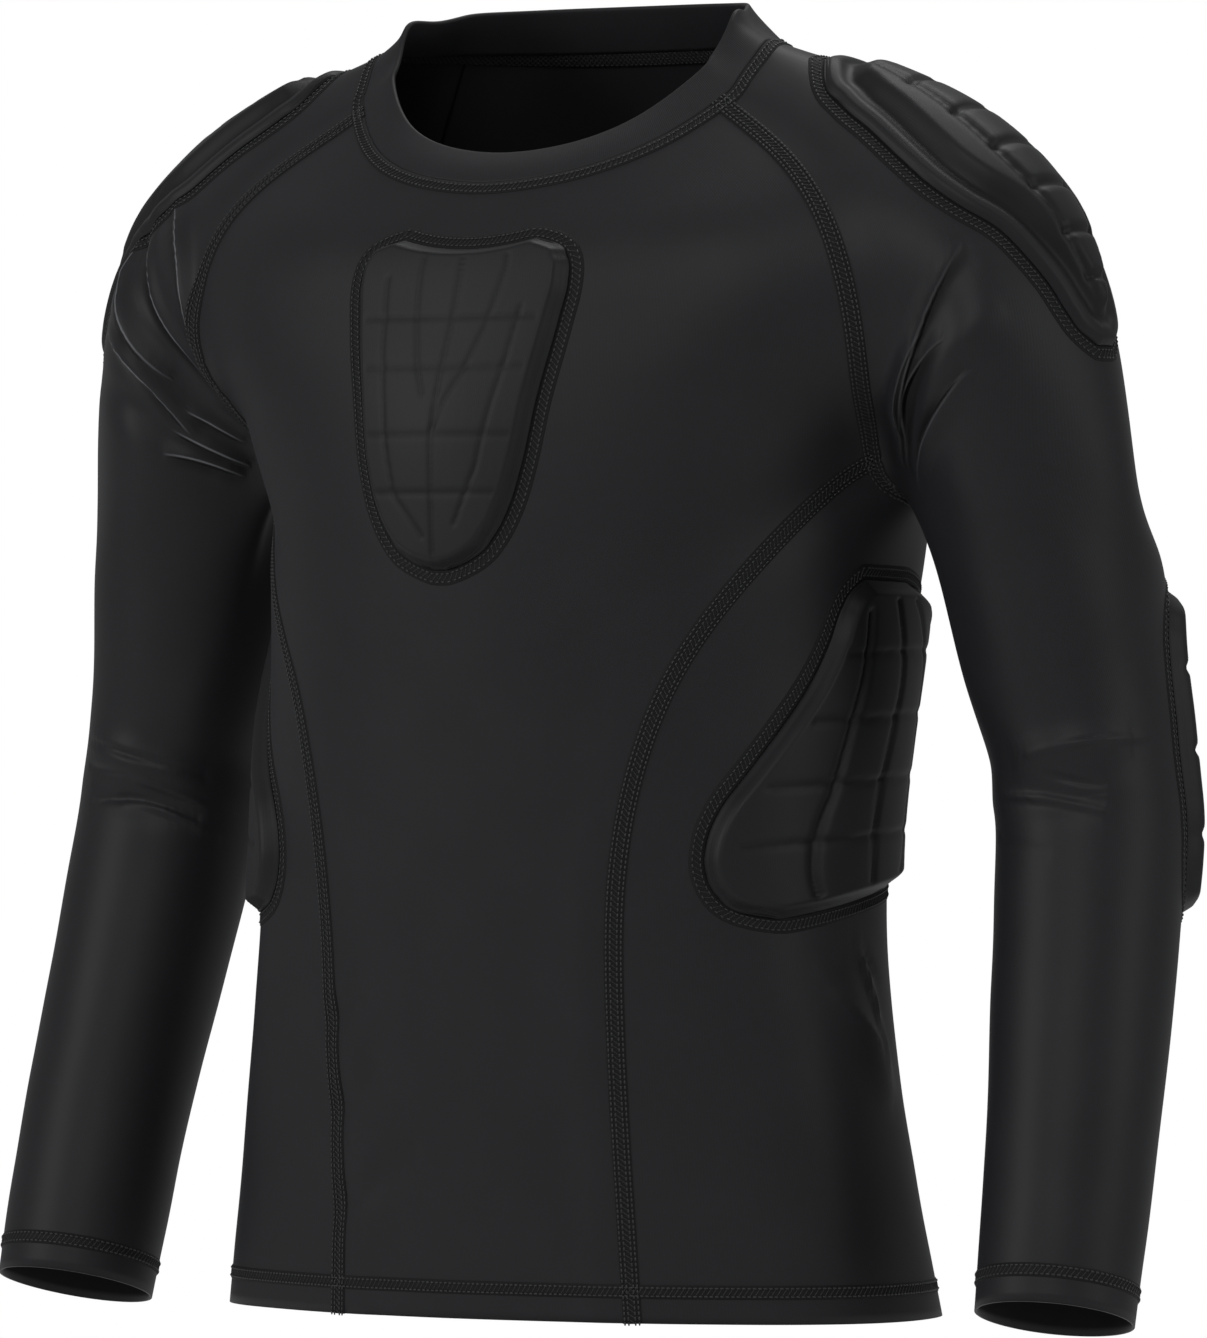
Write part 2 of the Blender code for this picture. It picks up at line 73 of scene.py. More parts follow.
def soft_light(name, place, aim, size, power):
    lamp = bpy.data.lights.new(name, "AREA")
    lamp.shape = "RECTANGLE"
    lamp.size, lamp.size_y = size
    lamp.energy = power
    obj = bpy.data.objects.new(name, lamp)
    obj.location = place
    obj.rotation_euler = (Vector(aim) - Vector(place)).to_track_quat("-Z", "Y").to_euler()
    bpy.context.scene.collection.objects.link(obj)


soft_light("left_light", (-1.75, -2.45, 0.9), (0, 0, -0.25), (0.9, 1.6), 30)
soft_light("right_light", (3.0, 0.1, 0.8), (0, 0, -0.25), (0.9, 1.6), 18)
soft_light("front_light", (0.9, -2.9, 1.8), (0, 0, -0.2), (1.3, 1.3), 31)
soft_light("top_light", (0.1, 0.9, 1.9), (0, 0, -0.1), (1.8, 0.9), 24)
bpy.context.scene.view_settings.view_transform = "Standard"
ROOM_LIGHT, ROOM_SEEN = 0.26, 1.0
room = bpy.data.worlds.new("white_room")
room.use_nodes = True
seen = add_node(room.node_tree, "LightPath").outputs["Is Camera Ray"]
strength = add_node(room.node_tree, "MapRange", {"Value": seen, "To Min": ROOM_LIGHT, "To Max": ROOM_SEEN})
feed(room.node_tree, room.node_tree.nodes["Background"],
     {"Color": (1, 1, 1, 1), "Strength": strength.outputs["Result"]})
bpy.context.scene.world = room

bpy.ops.object.select_all(action="DESELECT")
FLOOR_HEIGHT = -0.85
bpy.ops.mesh.primitive_grid_add(x_subdivisions=8, y_subdivisions=8, size=6, location=(0, 0, FLOOR_HEIGHT))
floor = bpy.context.object
floor.name = "floor"
floor.data.materials.append(new_finish("pale_floor", {"Base Color": (0.86, 0.86, 0.86, 1), "Roughness": 0.8}))

# The camera stands level with the shirt's middle, 30 degrees round to the wearer's left, so far off
# that the shirt shows little perspective, and a little aside, as the photograph frames it.
CAMERA_TURN = math.radians(30)
CAMERA_DISTANCE = 4.5
CAMERA_HEIGHT = -0.2648
PIXELS_PER_METRE = 2300
FRAME_WIDTH, FRAME_HEIGHT = 1207, 1338
SHIRT_COLUMN = 580
camera = bpy.data.cameras.new("camera")
camera.lens = camera.sensor_width * PIXELS_PER_METRE * CAMERA_DISTANCE / FRAME_HEIGHT
camera_object = bpy.data.objects.new("camera", camera)
aside = (FRAME_WIDTH / 2 - SHIRT_COLUMN) / PIXELS_PER_METRE
camera_object.location = (
    CAMERA_DISTANCE * math.sin(CAMERA_TURN) + aside * math.cos(CAMERA_TURN),
    -CAMERA_DISTANCE * math.cos(CAMERA_TURN) + aside * math.sin(CAMERA_TURN),
    CAMERA_HEIGHT,
)
camera_object.rotation_euler = (math.radians(90), 0, CAMERA_TURN)
bpy.context.scene.collection.objects.link(camera_object)
bpy.context.scene.camera = camera_object


# The shirt's form: one smooth surface from the hem to the cuffs and the neck, worked out from the
# same sections as the solids, in mm, with the weave's direction kept on it. The panels are cut from it.
Torso = namedtuple("Torso", "z half_width front back side_y front_round back_round front_seam back_seam")
TORSO = [
    Torso(-222, 145, 117.8, 115, 12, 2.00, 2.6, 56, 124),
    Torso(-265, 143, 114, 102, 8, 2.05, 2.5, 41.5, 137),
    Torso(-310, 141.2, 110, 91.5, 1, 2.15, 2.4, 33, 146),
    Torso(-360, 141.2, 106, 79.5, -4.5, 2.25, 2.4, 28, 152),
    Torso(-415, 146.5, 100.5, 75.5, -5.5, 2.30, 2.35, 25.5, 155),
    Torso(-475, 157, 94.5, 77.5, -1.5, 2.20, 2.2, 24.5, 156),
    Torso(-542.8, 168, 88.8, 90.2, 2, 2.20, 2.2, 23.5, 157),
]
Yoke = namedtuple(
    "Yoke",
    "front_y front_z front_turn raglan_front arm_front shoulder arm_back raglan_back back_turn back_y back_z",
)
YOKE = [
    Yoke(-117.5, -176, 85, (149.5, -9, -176), (211.5, -31.2, -183),
         (257.5, 22, -187), (208, 80, -185), (148, 60, -178), 68, 117, -178),
    Yoke(-112.5, -145, 72, (158.5, -35, -148), (215.5, -36.8, -135),
         (249, 18, -128.5), (212, 78, -135), (158, 83, -145), 55, 119, -145),
    Yoke(-105, -115, 62, (162.5, -52.5, -112), (206, -35.5, -91),
         (231.8, 15.5, -80), (202, 72, -88), (155, 95, -105), 50, 115, -105),
    Yoke(-97, -88, 58, (149, -53, -71), (178, -30, -53.5),
         (199.5, 12, -40.5), (174, 63, -46), (138, 92, -64), 50, 106, -62),
    Yoke(-87, -71, 60, (119, -41.5, -41.5), (136, -21.5, -22.5),
         (148, 4, -12.5), (132, 42, -12.5), (110, 68, -27), 55, 87, -22),
    Yoke(-78, -56.5, 68, (89, -35, -21.5), (94.5, -21, -7),
         (96.5, -7, 5), (91, 14, 6), (79, 37, 8), 70, 69, 8),
]
COLLAR_TOP = Yoke(
    -64.5, -43.5, 68, (76.8, -32, -10), (81.2, -20, 3),
    (83, -8.5, 17.2), (78, 9, 19), (68, 29, 23.5), 70, 60, 26,
)
ARMPIT = (161, 24, -196)
Sleeve = namedtuple("Sleeve", "x y z across deep")
SLEEVE = [
    Sleeve(214.8, 31.8, -225, 45.6, 51.2),
    Sleeve(220.3, 35, -262, 43.4, 48),
    Sleeve(226.2, 36, -289, 41.3, 44.8),
    Sleeve(229.1, 35.8, -305, 40.4, 43.5),
    Sleeve(230.8, 34.8, -320, 40.9, 43.1),
    Sleeve(232.8, 32.9, -336, 40.5, 42.4),
    Sleeve(235.5, 23.2, -372, 39.5, 40.5),
    Sleeve(239.3, 9.5, -420, 38, 38.5),
    Sleeve(243, -6.5, -475, 36.2, 36.2),
    Sleeve(245, -24.5, -538.5, 34.2, 34.2),
]
FRONT_STRIPS, SIDE_STRIPS, BACK_STRIPS, SLEEVE_STRIPS = 3, 5, 3, 8
PANELS = ["front", "back", "side", "sleeve", "collar"]
SAME_POINT = 0.01 * MM
SETTLING_ROUNDS = 4
FORM_LEVELS = 4


def torso_point(section, angle):
    s, c = math.sin(math.radians(angle)), math.cos(math.radians(angle))
    power = 2 / (section.front_round if c > 0 else section.back_round)
    reach = section.front + section.side_y if c > 0 else section.back - section.side_y
    y = section.side_y - math.copysign(abs(c) ** power, c) * reach
    return (section.half_width * abs(s) ** power, y, section.z)


def half_panel_row(centre_y, centre_z, seam, turn, strips):
    last = math.radians(turn)
    row = []
    for i in range(strips + 1):
        t = last * i / strips
        across = math.sin(t) / math.sin(last)
        along = (1 - math.cos(t)) / (1 - math.cos(last))
        y = centre_y + (seam[1] - centre_y) * along
        row.append((seam[0] * across, y, centre_z + (seam[2] - centre_z) * along))
    return row


def with_middles(points, before, after):
    run = [np.array(p, float) for p in [before, *points, after]]
    found = [run[1]]
    for a, b, c, d in zip(run, run[1:], run[2:], run[3:]):
        found += [(9 * (b + c) - (a + d)) / 16, c]
    return found


def yoke_rows(ring):
    front = half_panel_row(ring.front_y, ring.front_z, ring.raglan_front, ring.front_turn, FRONT_STRIPS)
    back = half_panel_row(ring.back_y, ring.back_z, ring.raglan_back, ring.back_turn, BACK_STRIPS)[::-1]
    keys = [ring.raglan_front, ring.arm_front, ring.shoulder, ring.arm_back, ring.raglan_back]
    return front, with_middles(keys, front[-2], back[1]), back


def curve_through(run, shares):
    """Points on a smooth curve through a start, a middle and an end."""
    start, middle, end = np.array(run, float)
    pull = 2 * middle - (start + end) / 2
    return np.array([(1 - w) ** 2 * start + 2 * w * (1 - w) * pull + w**2 * end for w in shares])


def unit(vectors):
    return vectors / np.maximum(np.linalg.norm(vectors, axis=-1, keepdims=True), 1e-12)


def sleeve_frames():
    centres = [np.array(s[:3]) for s in SLEEVE]
    frames = []
    for i, section in enumerate(SLEEVE):
        along = unit(centres[min(i + 1, len(centres) - 1)] - centres[max(i - 1, 0)])
        forward = unit(np.array([0, -1, 0]) - along * -along[1])
        outward = np.cross(along, forward)
        outward *= math.copysign(1, outward[0])
        frames.append((centres[i], outward, forward, section.across, section.deep))
    return frames


def sleeve_ring(frame_, angles):
    centre, outward, forward, across, deep = frame_
    turns = [math.radians(a) for a in angles]
    return [centre + outward * across * math.cos(t) + forward * deep * math.sin(t) for t in turns]


ARMPIT_HALF_ANGLE = 28
EVEN_SLEEVE_ROW = 3


def sleeve_angles(row):
    even = 360 / (SLEEVE_STRIPS + SIDE_STRIPS)
    widening = min(1.0, row / EVEN_SLEEVE_ROW)
    inner = ARMPIT_HALF_ANGLE + (even * SIDE_STRIPS / 2 - ARMPIT_HALF_ANGLE) * widening
    return (np.linspace(180 - inner, inner - 180, SLEEVE_STRIPS + 1),
            np.linspace(180 - inner, 180 + inner, SIDE_STRIPS + 1))


def half_form_grids():
    rings = [yoke_rows(ring) for ring in YOKE]
    top = yoke_rows(COLLAR_TOP)
    armpit = (YOKE[0].raglan_front, ARMPIT, YOKE[0].raglan_back)
    arc = curve_through(armpit, np.linspace(0, 1, SIDE_STRIPS + 1))
    lower = []
    for section in TORSO:
        runs = [
            np.linspace(0, section.front_seam, FRONT_STRIPS + 1),
            np.linspace(section.front_seam, section.back_seam, SIDE_STRIPS + 1),
            np.linspace(section.back_seam, 180, BACK_STRIPS + 1),
        ]
        lower.append([[torso_point(section, a) for a in run] for run in runs])
    outer, under = [rings[0][1]], [arc]
    for row, frame_ in enumerate(sleeve_frames(), start=1):
        outer_angles, under_angles = sleeve_angles(row)
        outer.append(sleeve_ring(frame_, outer_angles))
        under.append(sleeve_ring(frame_, under_angles))
    yield "front", [row[0] for row in lower][::-1] + [r[0] for r in rings]
    yield "side", [row[1] for row in lower][::-1] + [arc]
    yield "back", [row[2] for row in lower][::-1] + [r[2] for r in rings]
    yield "sleeve", outer[::-1] + [r[1] for r in rings[1:]]
    yield "sleeve", [row[::-1] for row in under[::-1]]
    for i in range(3):
        yield "collar", [rings[-1][i], top[i]]


def smooth_form():
    """The form's points, faces, normals, panels and weave coordinates, as arrays."""
    bm = bmesh.new()
    weave = bm.loops.layers.uv.new("weave")
    for name, rows in half_form_grids():
        rows = [[np.array(p, float) * MM for p in row] for row in rows]
        widths = np.array([np.linalg.norm(np.diff(row, axis=0), axis=1).sum() for row in rows])
        steps = [np.linalg.norm(np.array(b) - np.array(a), axis=1).mean() for a, b in zip(rows, rows[1:])]
        rises = [0, *np.cumsum(steps)]
        across = widths.mean() / (len(rows[0]) - 1)
        verts = [[bm.verts.new(Vector(p)) for p in row] for row in rows]
        for j in range(len(rows) - 1):
            for i in range(len(rows[0]) - 1):
                corners = [(j, i), (j, i + 1), (j + 1, i + 1), (j + 1, i)]
                face = bm.faces.new([verts[r][c] for r, c in corners])
                face.material_index = PANELS.index(name)
                for loop, (r, c) in zip(face.loops, corners):
                    loop[weave].uv = (c * across, rises[r])
    bmesh.ops.remove_doubles(bm, verts=bm.verts, dist=SAME_POINT)
    for v in bm.verts:
        if abs(v.co.x) < SAME_POINT:
            v.co.x = 0
    mesh = bpy.data.meshes.new("shirt_form")
    bm.to_mesh(mesh)
    bm.free()
    guide = bpy.data.objects.new("shirt_form", mesh)
    bpy.context.scene.collection.objects.link(guide)
    guide.modifiers.new("Mirror", "MIRROR").merge_threshold = SAME_POINT
    smooth = guide.modifiers.new("Subdivision", "SUBSURF")
    smooth.levels = smooth.render_levels = 1
    target = np.array([v.co for v in mesh.vertices])
    cage = target.copy()

    def evaluated():
        bpy.context.view_layer.update()
        return bpy.data.meshes.new_from_object(guide.evaluated_get(bpy.context.evaluated_depsgraph_get()))

    for _ in range(SETTLING_ROUNDS):
        done = evaluated()
        cage += target - np.array([done.vertices[i].co for i in range(len(target))])
        mesh.vertices.foreach_set("co", cage.ravel())
        mesh.update()
        bpy.data.meshes.remove(done)
    smooth.levels = smooth.render_levels = FORM_LEVELS
    done = evaluated()
    bpy.data.objects.remove(guide)

    def read(items, name, width, kind=float):
        found = np.empty(len(items) * width, kind)
        items.foreach_get(name, found)
        return found.reshape(-1, width)

    return (
        read(done.vertices, "co", 3), read(done.loops, "vertex_index", 1, int).reshape(-1, 4),
        read(done.vertex_normals, "vector", 3), read(done.polygons, "material_index", 1, int).ravel(),
        read(done.uv_layers["weave"].data, "uv", 2).reshape(-1, 4, 2),
    )


points, quads, normals, quad_panel, weave_uv = smooth_form()


# Folds and creases of the cloth, each raised (or sunk, where height is negative) along a curve from
# start through middle to end, in mm. The broad ones are in the solids too, the sharp ones only here.
Fold = namedtuple("Fold", "start middle end width height")
FOLDS = [
    Fold((212, -31, -86), (187, -41, -128), (168, -18, -176), 7, -3.5),
    Fold((222, -28, -110), (196, -38, -142), (173, -18, -182), 6, 3.5),
    Fold((-199, -10, -56), (-171, -46, -98), (-160, -38, -146), 7.5, 4),
    Fold((-207, -20, -70), (-190, -43, -110), (-166, -34, -152), 6, -3),
    Fold((-223, -18, -88), (-207, -37, -117), (-176, -30, -158), 7, 4),
    Fold((-240, 4, -130), (-205, -36, -150), (-170, -16, -176), 7, -3.5),
    Fold((212, -6, -302), (243, -6, -297), (262, 14, -296), 6.5, 2.5),
    Fold((205, -2, -318), (235, -8, -319), (256, 1, -322), 6.5, -2.5),
    Fold((-257, 6, -296), (-230, -8, -303), (-198, 8, -312), 6.5, 2.5),
    Fold((-250, -2, -322), (-224, -7, -323), (-199, 9, -332), 6.5, -2.5),
    Fold((142, -28, -396), (148, -8, -424), (153, 4, -452), 8, 3),
]
CREASES = [
    # elbows
    Fold((222, -8, -302), (245, -5, -296), (266, 22, -294), 1.7, 1.9),
    Fold((230, -8, -309), (245, -5, -312), (256, 3, -314), 1.5, -1.5),
    Fold((206, 0, -319), (234, -8, -320), (258, 2, -325), 1.7, 1.8),
    Fold((204, 3, -336), (220, -6, -340), (237, -11, -343), 1.7, -1.6),
    Fold((-258, 6, -296), (-230, -8, -302), (-195, 11, -313), 1.7, -1.9),
    Fold((-254, 1, -308), (-241, -5, -310), (-226, -8, -311), 1.5, -1.5),
    Fold((-226, -8, -313), (-211, -1, -319), (-197, 11, -326), 1.5, 1.9),
    Fold((-252, -3, -324), (-225, -7, -323), (-198, 11, -333), 1.7, -1.9),
    Fold((-233, -8, -324), (-212, -2, -328), (-195, 17, -342), 1.5, 1.9),
    # waist under the near rib pad
    Fold((141, -12, -376), (146, 0, -409), (150, 5, -440), 1.8, 2.3),
    Fold((137, -40, -390), (143, -22, -410), (149, 1, -430), 2, 1.9),
    Fold((140, -14, -378), (142, -4, -388), (143, 9, -399), 1.8, -1.5),
    # lower front on the far side
    Fold((-74, -90, -424), (-63, -95, -411), (-50, -99, -399), 5, -1.8),
    Fold((-78, -86, -463), (-60, -92, -448), (-40, -96, -433), 6, -1.9),
    Fold((-80, -82, -505), (-52, -90, -486), (-22, -94, -470), 6.5, -2.1),
]
FOLD_END = 0.7
FOLD_POINTS = np.linspace(0, 1, 40)
FOLD_SHARES = np.sin(np.pi * FOLD_POINTS) ** FOLD_END


def fold_curve(fold):
    return curve_through(fold[:3], FOLD_POINTS) * MM


def fold_lift(places, folds, steep=None):
    """How far the folds raise each place. With a steep width, a fold is short to the left of its run."""
    lift = np.zeros(len(places))
    for fold in folds:
        curve, wide = fold_curve(fold), fold.width * MM
        middle, reach = (curve.max(0) + curve.min(0)) / 2, (curve.max(0) - curve.min(0)) / 2 + 4 * wide
        near = np.flatnonzero(np.all(np.abs(places - middle) < reach, axis=1))
        distance = np.linalg.norm(places[near][:, None] - curve[None], axis=2)
        nearest = distance.argmin(1)
        width = np.full(len(near), wide)
        if steep:
            run = np.gradient(curve, axis=0)[nearest]
            left = np.einsum("ij,ij->i", np.cross(normals[near], run), places[near] - curve[nearest]) > 0
            width[left] = steep
        bell = np.exp(-((distance.min(1) / width) ** 2) * math.log(2))
        lift[near] += fold.height * MM * FOLD_SHARES[nearest] * bell
    return lift


# Pleats that the raised arms leave in the sleeve caps: each rises slowly and drops at once
PLEATS = [
    Fold((-158, -39, -145), (-174, -49, -87), (-193, -22, -54), 6, 2.4),
    Fold((-162, -39, -142), (-193, -42, -102), (-199, -18, -58), 6, 2.6),
    Fold((-215, -30, -98), (-213, -26, -82), (-203, -18, -64), 4, 1.6),
    Fold((-185, -39, -138), (-212, -37, -104), (-213, -12, -70), 6, 2.6),
    Fold((-183, -27, -162), (-201, -41, -135), (-228, -18, -112), 7, 3.4),
    Fold((-162, -17, -166), (-173, -25, -157), (-182, -32, -151), 3.5, 1.8),
    Fold((-162, -11, -176), (-176, -22, -168), (-190, -29, -160), 4, 2.2),
    Fold((-166, -10, -180), (-181, -23, -173), (-195, -30, -170), 4, 1.8),
    Fold((207, -35, -84), (186, -38, -129), (169, -18, -166), 7, 3.4),
    Fold((192, -40, -120), (172, -28, -151), (166, -10, -180), 4.5, 2.2),
    Fold((202, -40, -125), (179, -32, -147), (168, -12, -182), 4.5, 2.2),
    Fold((173, -13, -188), (192, -33, -162), (212, -38, -138), 6, 3),
]
PLEAT_DROP = 2.6 * MM
PLEAT_REACH = 12
PLEAT_FADE = 4
# How strong the painted highlight along each pleat's edge is, on the near and the far sleeve
NEAR_PAINTED_HIGHLIGHT, FAR_PAINTED_HIGHLIGHT = 0.25, 1.0
DRAPE_HEIGHT = 0.9 * MM


def pleat_field(places, out, fold):
    """The mm from a pleat's edge, positive on its short side, its share and its painted highlight."""
    curve = fold_curve(fold)
    distance = np.linalg.norm(places[:, None] - curve[None], axis=2)
    nearest = distance.argmin(1)
    run = unit(np.gradient(curve, axis=0)[nearest])
    aside = np.einsum("ij,ij->i", np.cross(out, run), places - curve[nearest]) / MM
    past = distance.min(1) / MM - PLEAT_REACH
    share = FOLD_SHARES[nearest] * np.clip(1 - past / PLEAT_FADE, 0, 1)
    painted_highlight_strength = FAR_PAINTED_HIGHLIGHT if fold.end[0] < 0 else NEAR_PAINTED_HIGHLIGHT
    return np.stack([np.clip(aside, -PLEAT_REACH, PLEAT_REACH), share, share * painted_highlight_strength], axis=1)


drape = np.array([noise.noise(p * 11) + 0.45 * noise.noise(p * 27) for p in map(Vector, points)])
points = points + normals * (
    fold_lift(points, FOLDS) + fold_lift(points, CREASES) + fold_lift(points, PLEATS, PLEAT_DROP)
    + DRAPE_HEIGHT * drape
)[:, None]
cloth_tree = BVHTree.FromPolygons(points.tolist(), quads.tolist())


# The cloth panels: cut from the form along its seams, each a single knit layer. Every panel stops
# half a seam gap inside its seams and hems.
KNIT_THICKNESS = 1.2 * MM
SEAM_GAP = 0.3 * MM


def effect_group(name, inputs, outputs):
    group = bpy.data.node_groups.new(name, "ShaderNodeTree")
    for socket, value in inputs.items():
        made = group.interface.new_socket(socket, in_out="INPUT", socket_type="NodeSocketFloat")
        made.default_value = value
    for socket in outputs:
        group.interface.new_socket(socket, in_out="OUTPUT", socket_type="NodeSocketFloat")
    return group


def calc(group, operation, *values):
    """One Math node, or a chain of them over more than two values."""
    found = values[0]
    for value in values[1:] or [0]:
        found = add_node(group, "Math", {0: found, 1: value}, operation=operation).outputs[0]
    return found


def knit_group():
    """Fine knit: upright ribs crossed by rows of loops, with the yarn's unevenness."""
    group = effect_group("fine_knit", {"Ribs per metre": 1100, "Rows per metre": 1400}, ("Height", "Tone"))
    enter = group.nodes.new("NodeGroupInput")
    uv = add_node(group, "UVMap", uv_map="weave").outputs[0]
    split = add_node(group, "SeparateXYZ", {0: uv})
    rib, row = (
        calc(group, "SINE", calc(group, "MULTIPLY", split.outputs[way], enter.outputs[count], math.tau))
        for way, count in (("X", "Ribs per metre"), ("Y", "Rows per metre"))
    )
    wobble = add_node(group, "TexNoise", {"Scale": 260, "Vector": uv}).outputs["Fac"]
    broad = add_node(group, "TexNoise", {"Scale": 22, "Detail": 3, "Vector": uv}).outputs["Fac"]
    loops = calc(group, "ADD", calc(group, "MULTIPLY", rib, 0.20), calc(group, "MULTIPLY", rib, row, 0.14))
    height = calc(group, "ADD", loops, 0.3, calc(group, "MULTIPLY", wobble, 0.5))
    tone = calc(group, "ADD", calc(group, "MULTIPLY", height, 0.35), calc(group, "MULTIPLY", broad, 0.5))
    feed(group, group.nodes.new("NodeGroupOutput"), {"Height": height, "Tone": tone})
    return group


fine_knit = knit_group()


# A bump's height, a painted shade mask and a painted highlight mask
BUMP_AND_PAINTED_LIGHT = ("Height", "Shade", "Painted_highlight")


def ramp(group, value, *limits):
    """A smooth step of a value, between limits given as from low, high, to low, high."""
    values = dict(enumerate((value, *limits)))
    return add_node(group, "MapRange", values, interpolation_type="SMOOTHSTEP").outputs[0]


def pleat_bump_and_painted_light():
    """A pleat's edge: a bump rising to it, a painted highlight along it, painted shade in the crease below.
    """
    group = effect_group("pleats", {}, BUMP_AND_PAINTED_LIGHT)
    found = {output: [] for output in BUMP_AND_PAINTED_LIGHT}
    for i in range(len(PLEATS)):
        field = add_node(group, "Attribute", attribute_name=f"pleat_{i}")
        split = add_node(group, "SeparateXYZ", {0: field.outputs["Vector"]}).outputs
        # Height bumps the cloth, Shade paints shade into the crease, the last mask paints a highlight on the
        # edge
        for output, rise, fall, share in (
            ("Height", (-9, 0, 0, 1), (0, 1.5, 1, 0), "Y"),
            ("Shade", (0.1, 0.9, 0, 0.85), (1.2, 7.5, 1, 0), "Y"),
            ("Painted_highlight", (-1.0, -0.3, 0, 0.9), (-0.2, 0.4, 1, 0), "Z"),
        ):
            edges = [ramp(group, split["X"], *limits) for limits in (rise, fall)]
            found[output].append(calc(group, "MULTIPLY", *edges, split[share]))
    sums = {output: calc(group, "ADD", *values) for output, values in found.items()}
    feed(group, group.nodes.new("NodeGroupOutput"), sums)
    return group


def painted_recess_shade_group():
    """Painted shade at the bottom of a pad's grooves and in its hollow."""
    group = effect_group("painted_recess_shade", {}, BUMP_AND_PAINTED_LIGHT)
    field = add_node(group, "Attribute", attribute_name="painted_recess_shade")
    feed(group, group.nodes.new("NodeGroupOutput"), {"Shade": field.outputs["Fac"]})
    return group


def mixed(tree, a, b, factor):
    return add_node(tree, "Mix", {"A": a, "B": b, "Factor": factor}, data_type="RGBA").outputs["Result"]


def cloth_material(name, dark, light, roughness, bump=0.14, bump_and_painted_light_group=None):
    """Black polyester knit: almost matt between the ribs, with a soft sheen at grazing angles."""
    material = new_finish(name, {
        "Roughness": roughness, "Specular IOR Level": 0.2, "Sheen Weight": 0.025, "Sheen Roughness": 0.35,
        "Sheen Tint": (0.75, 0.78, 0.85, 1),
    })
    tree = material.node_tree
    knit = add_node(tree, "Group", node_tree=fine_knit).outputs
    colour = mixed(tree, (*dark, 1), (*light, 1), knit["Tone"])
    grain = {"Strength": bump, "Distance": 0.25 * MM, "Height": knit["Height"]}
    # With a group given, its masks mix a near-black painted shade and a pale grey painted highlight into the
    # knit's colour, and its height bumps the surface
    if bump_and_painted_light_group:
        bump_and_painted_light_outputs = add_node(tree, "Group", node_tree=bump_and_painted_light_group).outputs
        for mask, tint in (("Shade", (0.0015, 0.0015, 0.0018, 1)), ("Painted_highlight", (0.130, 0.132, 0.138, 1))):
            colour = mixed(tree, colour, tint, bump_and_painted_light_outputs[mask])
        edge = add_node(tree, "Bump", {"Strength": 1.0, "Distance": 1.4 * MM, "Height": bump_and_painted_light_outputs["Height"]})
        grain["Normal"] = edge.outputs["Normal"]
    normal = add_node(tree, "Bump", grain).outputs["Normal"]
    feed(tree, tree.nodes["Principled BSDF"], {"Base Color": colour, "Normal": normal})
    return material


# The pads' stretched covers are a little darker than the loose knit
BLACK = {"dark": (0.0080, 0.0081, 0.0092), "light": (0.0175, 0.0178, 0.0200)}
body_knit = cloth_material("body_knit", roughness=0.52, **BLACK)
# The sleeves' knit has the pleats' painted shade and painted highlight
sleeve_knit = cloth_material("sleeve_knit", roughness=0.50, bump_and_painted_light_group=pleat_bump_and_painted_light(), **BLACK)
collar_knit = cloth_material("collar_knit", roughness=0.55, bump=0.35, **BLACK)
# The pad covers have painted shade in their grooves and hollow
pad_cover = cloth_material(
    "pad_cover", (0.0065, 0.0066, 0.0074), (0.0135, 0.0137, 0.0155), 0.50, bump_and_painted_light_group=painted_recess_shade_group()
)


def new_piece(name, places, faces, material, slot, uv=None):
    """A mesh piece of the shirt, shaded smooth, with its weave coordinates."""
    mesh = bpy.data.meshes.new(name)
    faces = faces.tolist() if isinstance(faces, np.ndarray) else faces
    mesh.from_pydata(np.asarray(places).tolist(), [], faces)
    if uv is not None:
        mesh.uv_layers.new(name="weave").data.foreach_set("uv", np.asarray(uv).ravel())
    mesh.shade_smooth()
    mesh.materials.append(material)
    obj = bpy.data.objects.new(name, mesh)
    bpy.context.scene.collection.objects.link(obj)
    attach(obj, "root")
    return obj


def open_edges(faces):
    """The edges that only one face has, each pointing the way that its face runs."""
    run = np.stack([faces, np.roll(faces, -1, axis=1)], axis=2).reshape(-1, 2)
    low, high = np.sort(run, axis=1).T
    key = low.astype(np.int64) * (faces.max() + 1) + high
    _, first, count = np.unique(key, return_index=True, return_counts=True)
    return run[first[count == 1]]


def cut_panel(name, chosen, material, slot):
    used, faces = np.unique(quads[chosen], return_inverse=True)
    faces = faces.reshape(-1, 4)
    places, out = points[used].copy(), normals[used]
    edges = open_edges(faces)
    along = places[edges[:, 1]] - places[edges[:, 0]]
    step = np.zeros_like(places)
    for end in (0, 1):
        inward = np.cross(out[edges[:, end]], along)
        np.add.at(step, edges[:, end], unit(inward))
    size = (step**2).sum(1)
    moved = size > 0
    places[moved] += step[moved] * (SEAM_GAP / size[moved])[:, None]
    panel = new_piece(name, places, faces, material, slot, weave_uv[chosen])
    # The sleeves carry each pleat's field, which their material reads for a bump, painted shade and a painted
    # highlight
    for i, fold in enumerate(PLEATS if name.startswith("sleeve") else []):
        field = panel.data.attributes.new(f"pleat_{i}", "FLOAT_VECTOR", "POINT")
        field.data.foreach_set("vector", pleat_field(places, out, fold).ravel())
    wall = panel.modifiers.new("Solidify", "SOLIDIFY")
    wall.thickness = KNIT_THICKNESS
    wall.offset = -1
    return panel


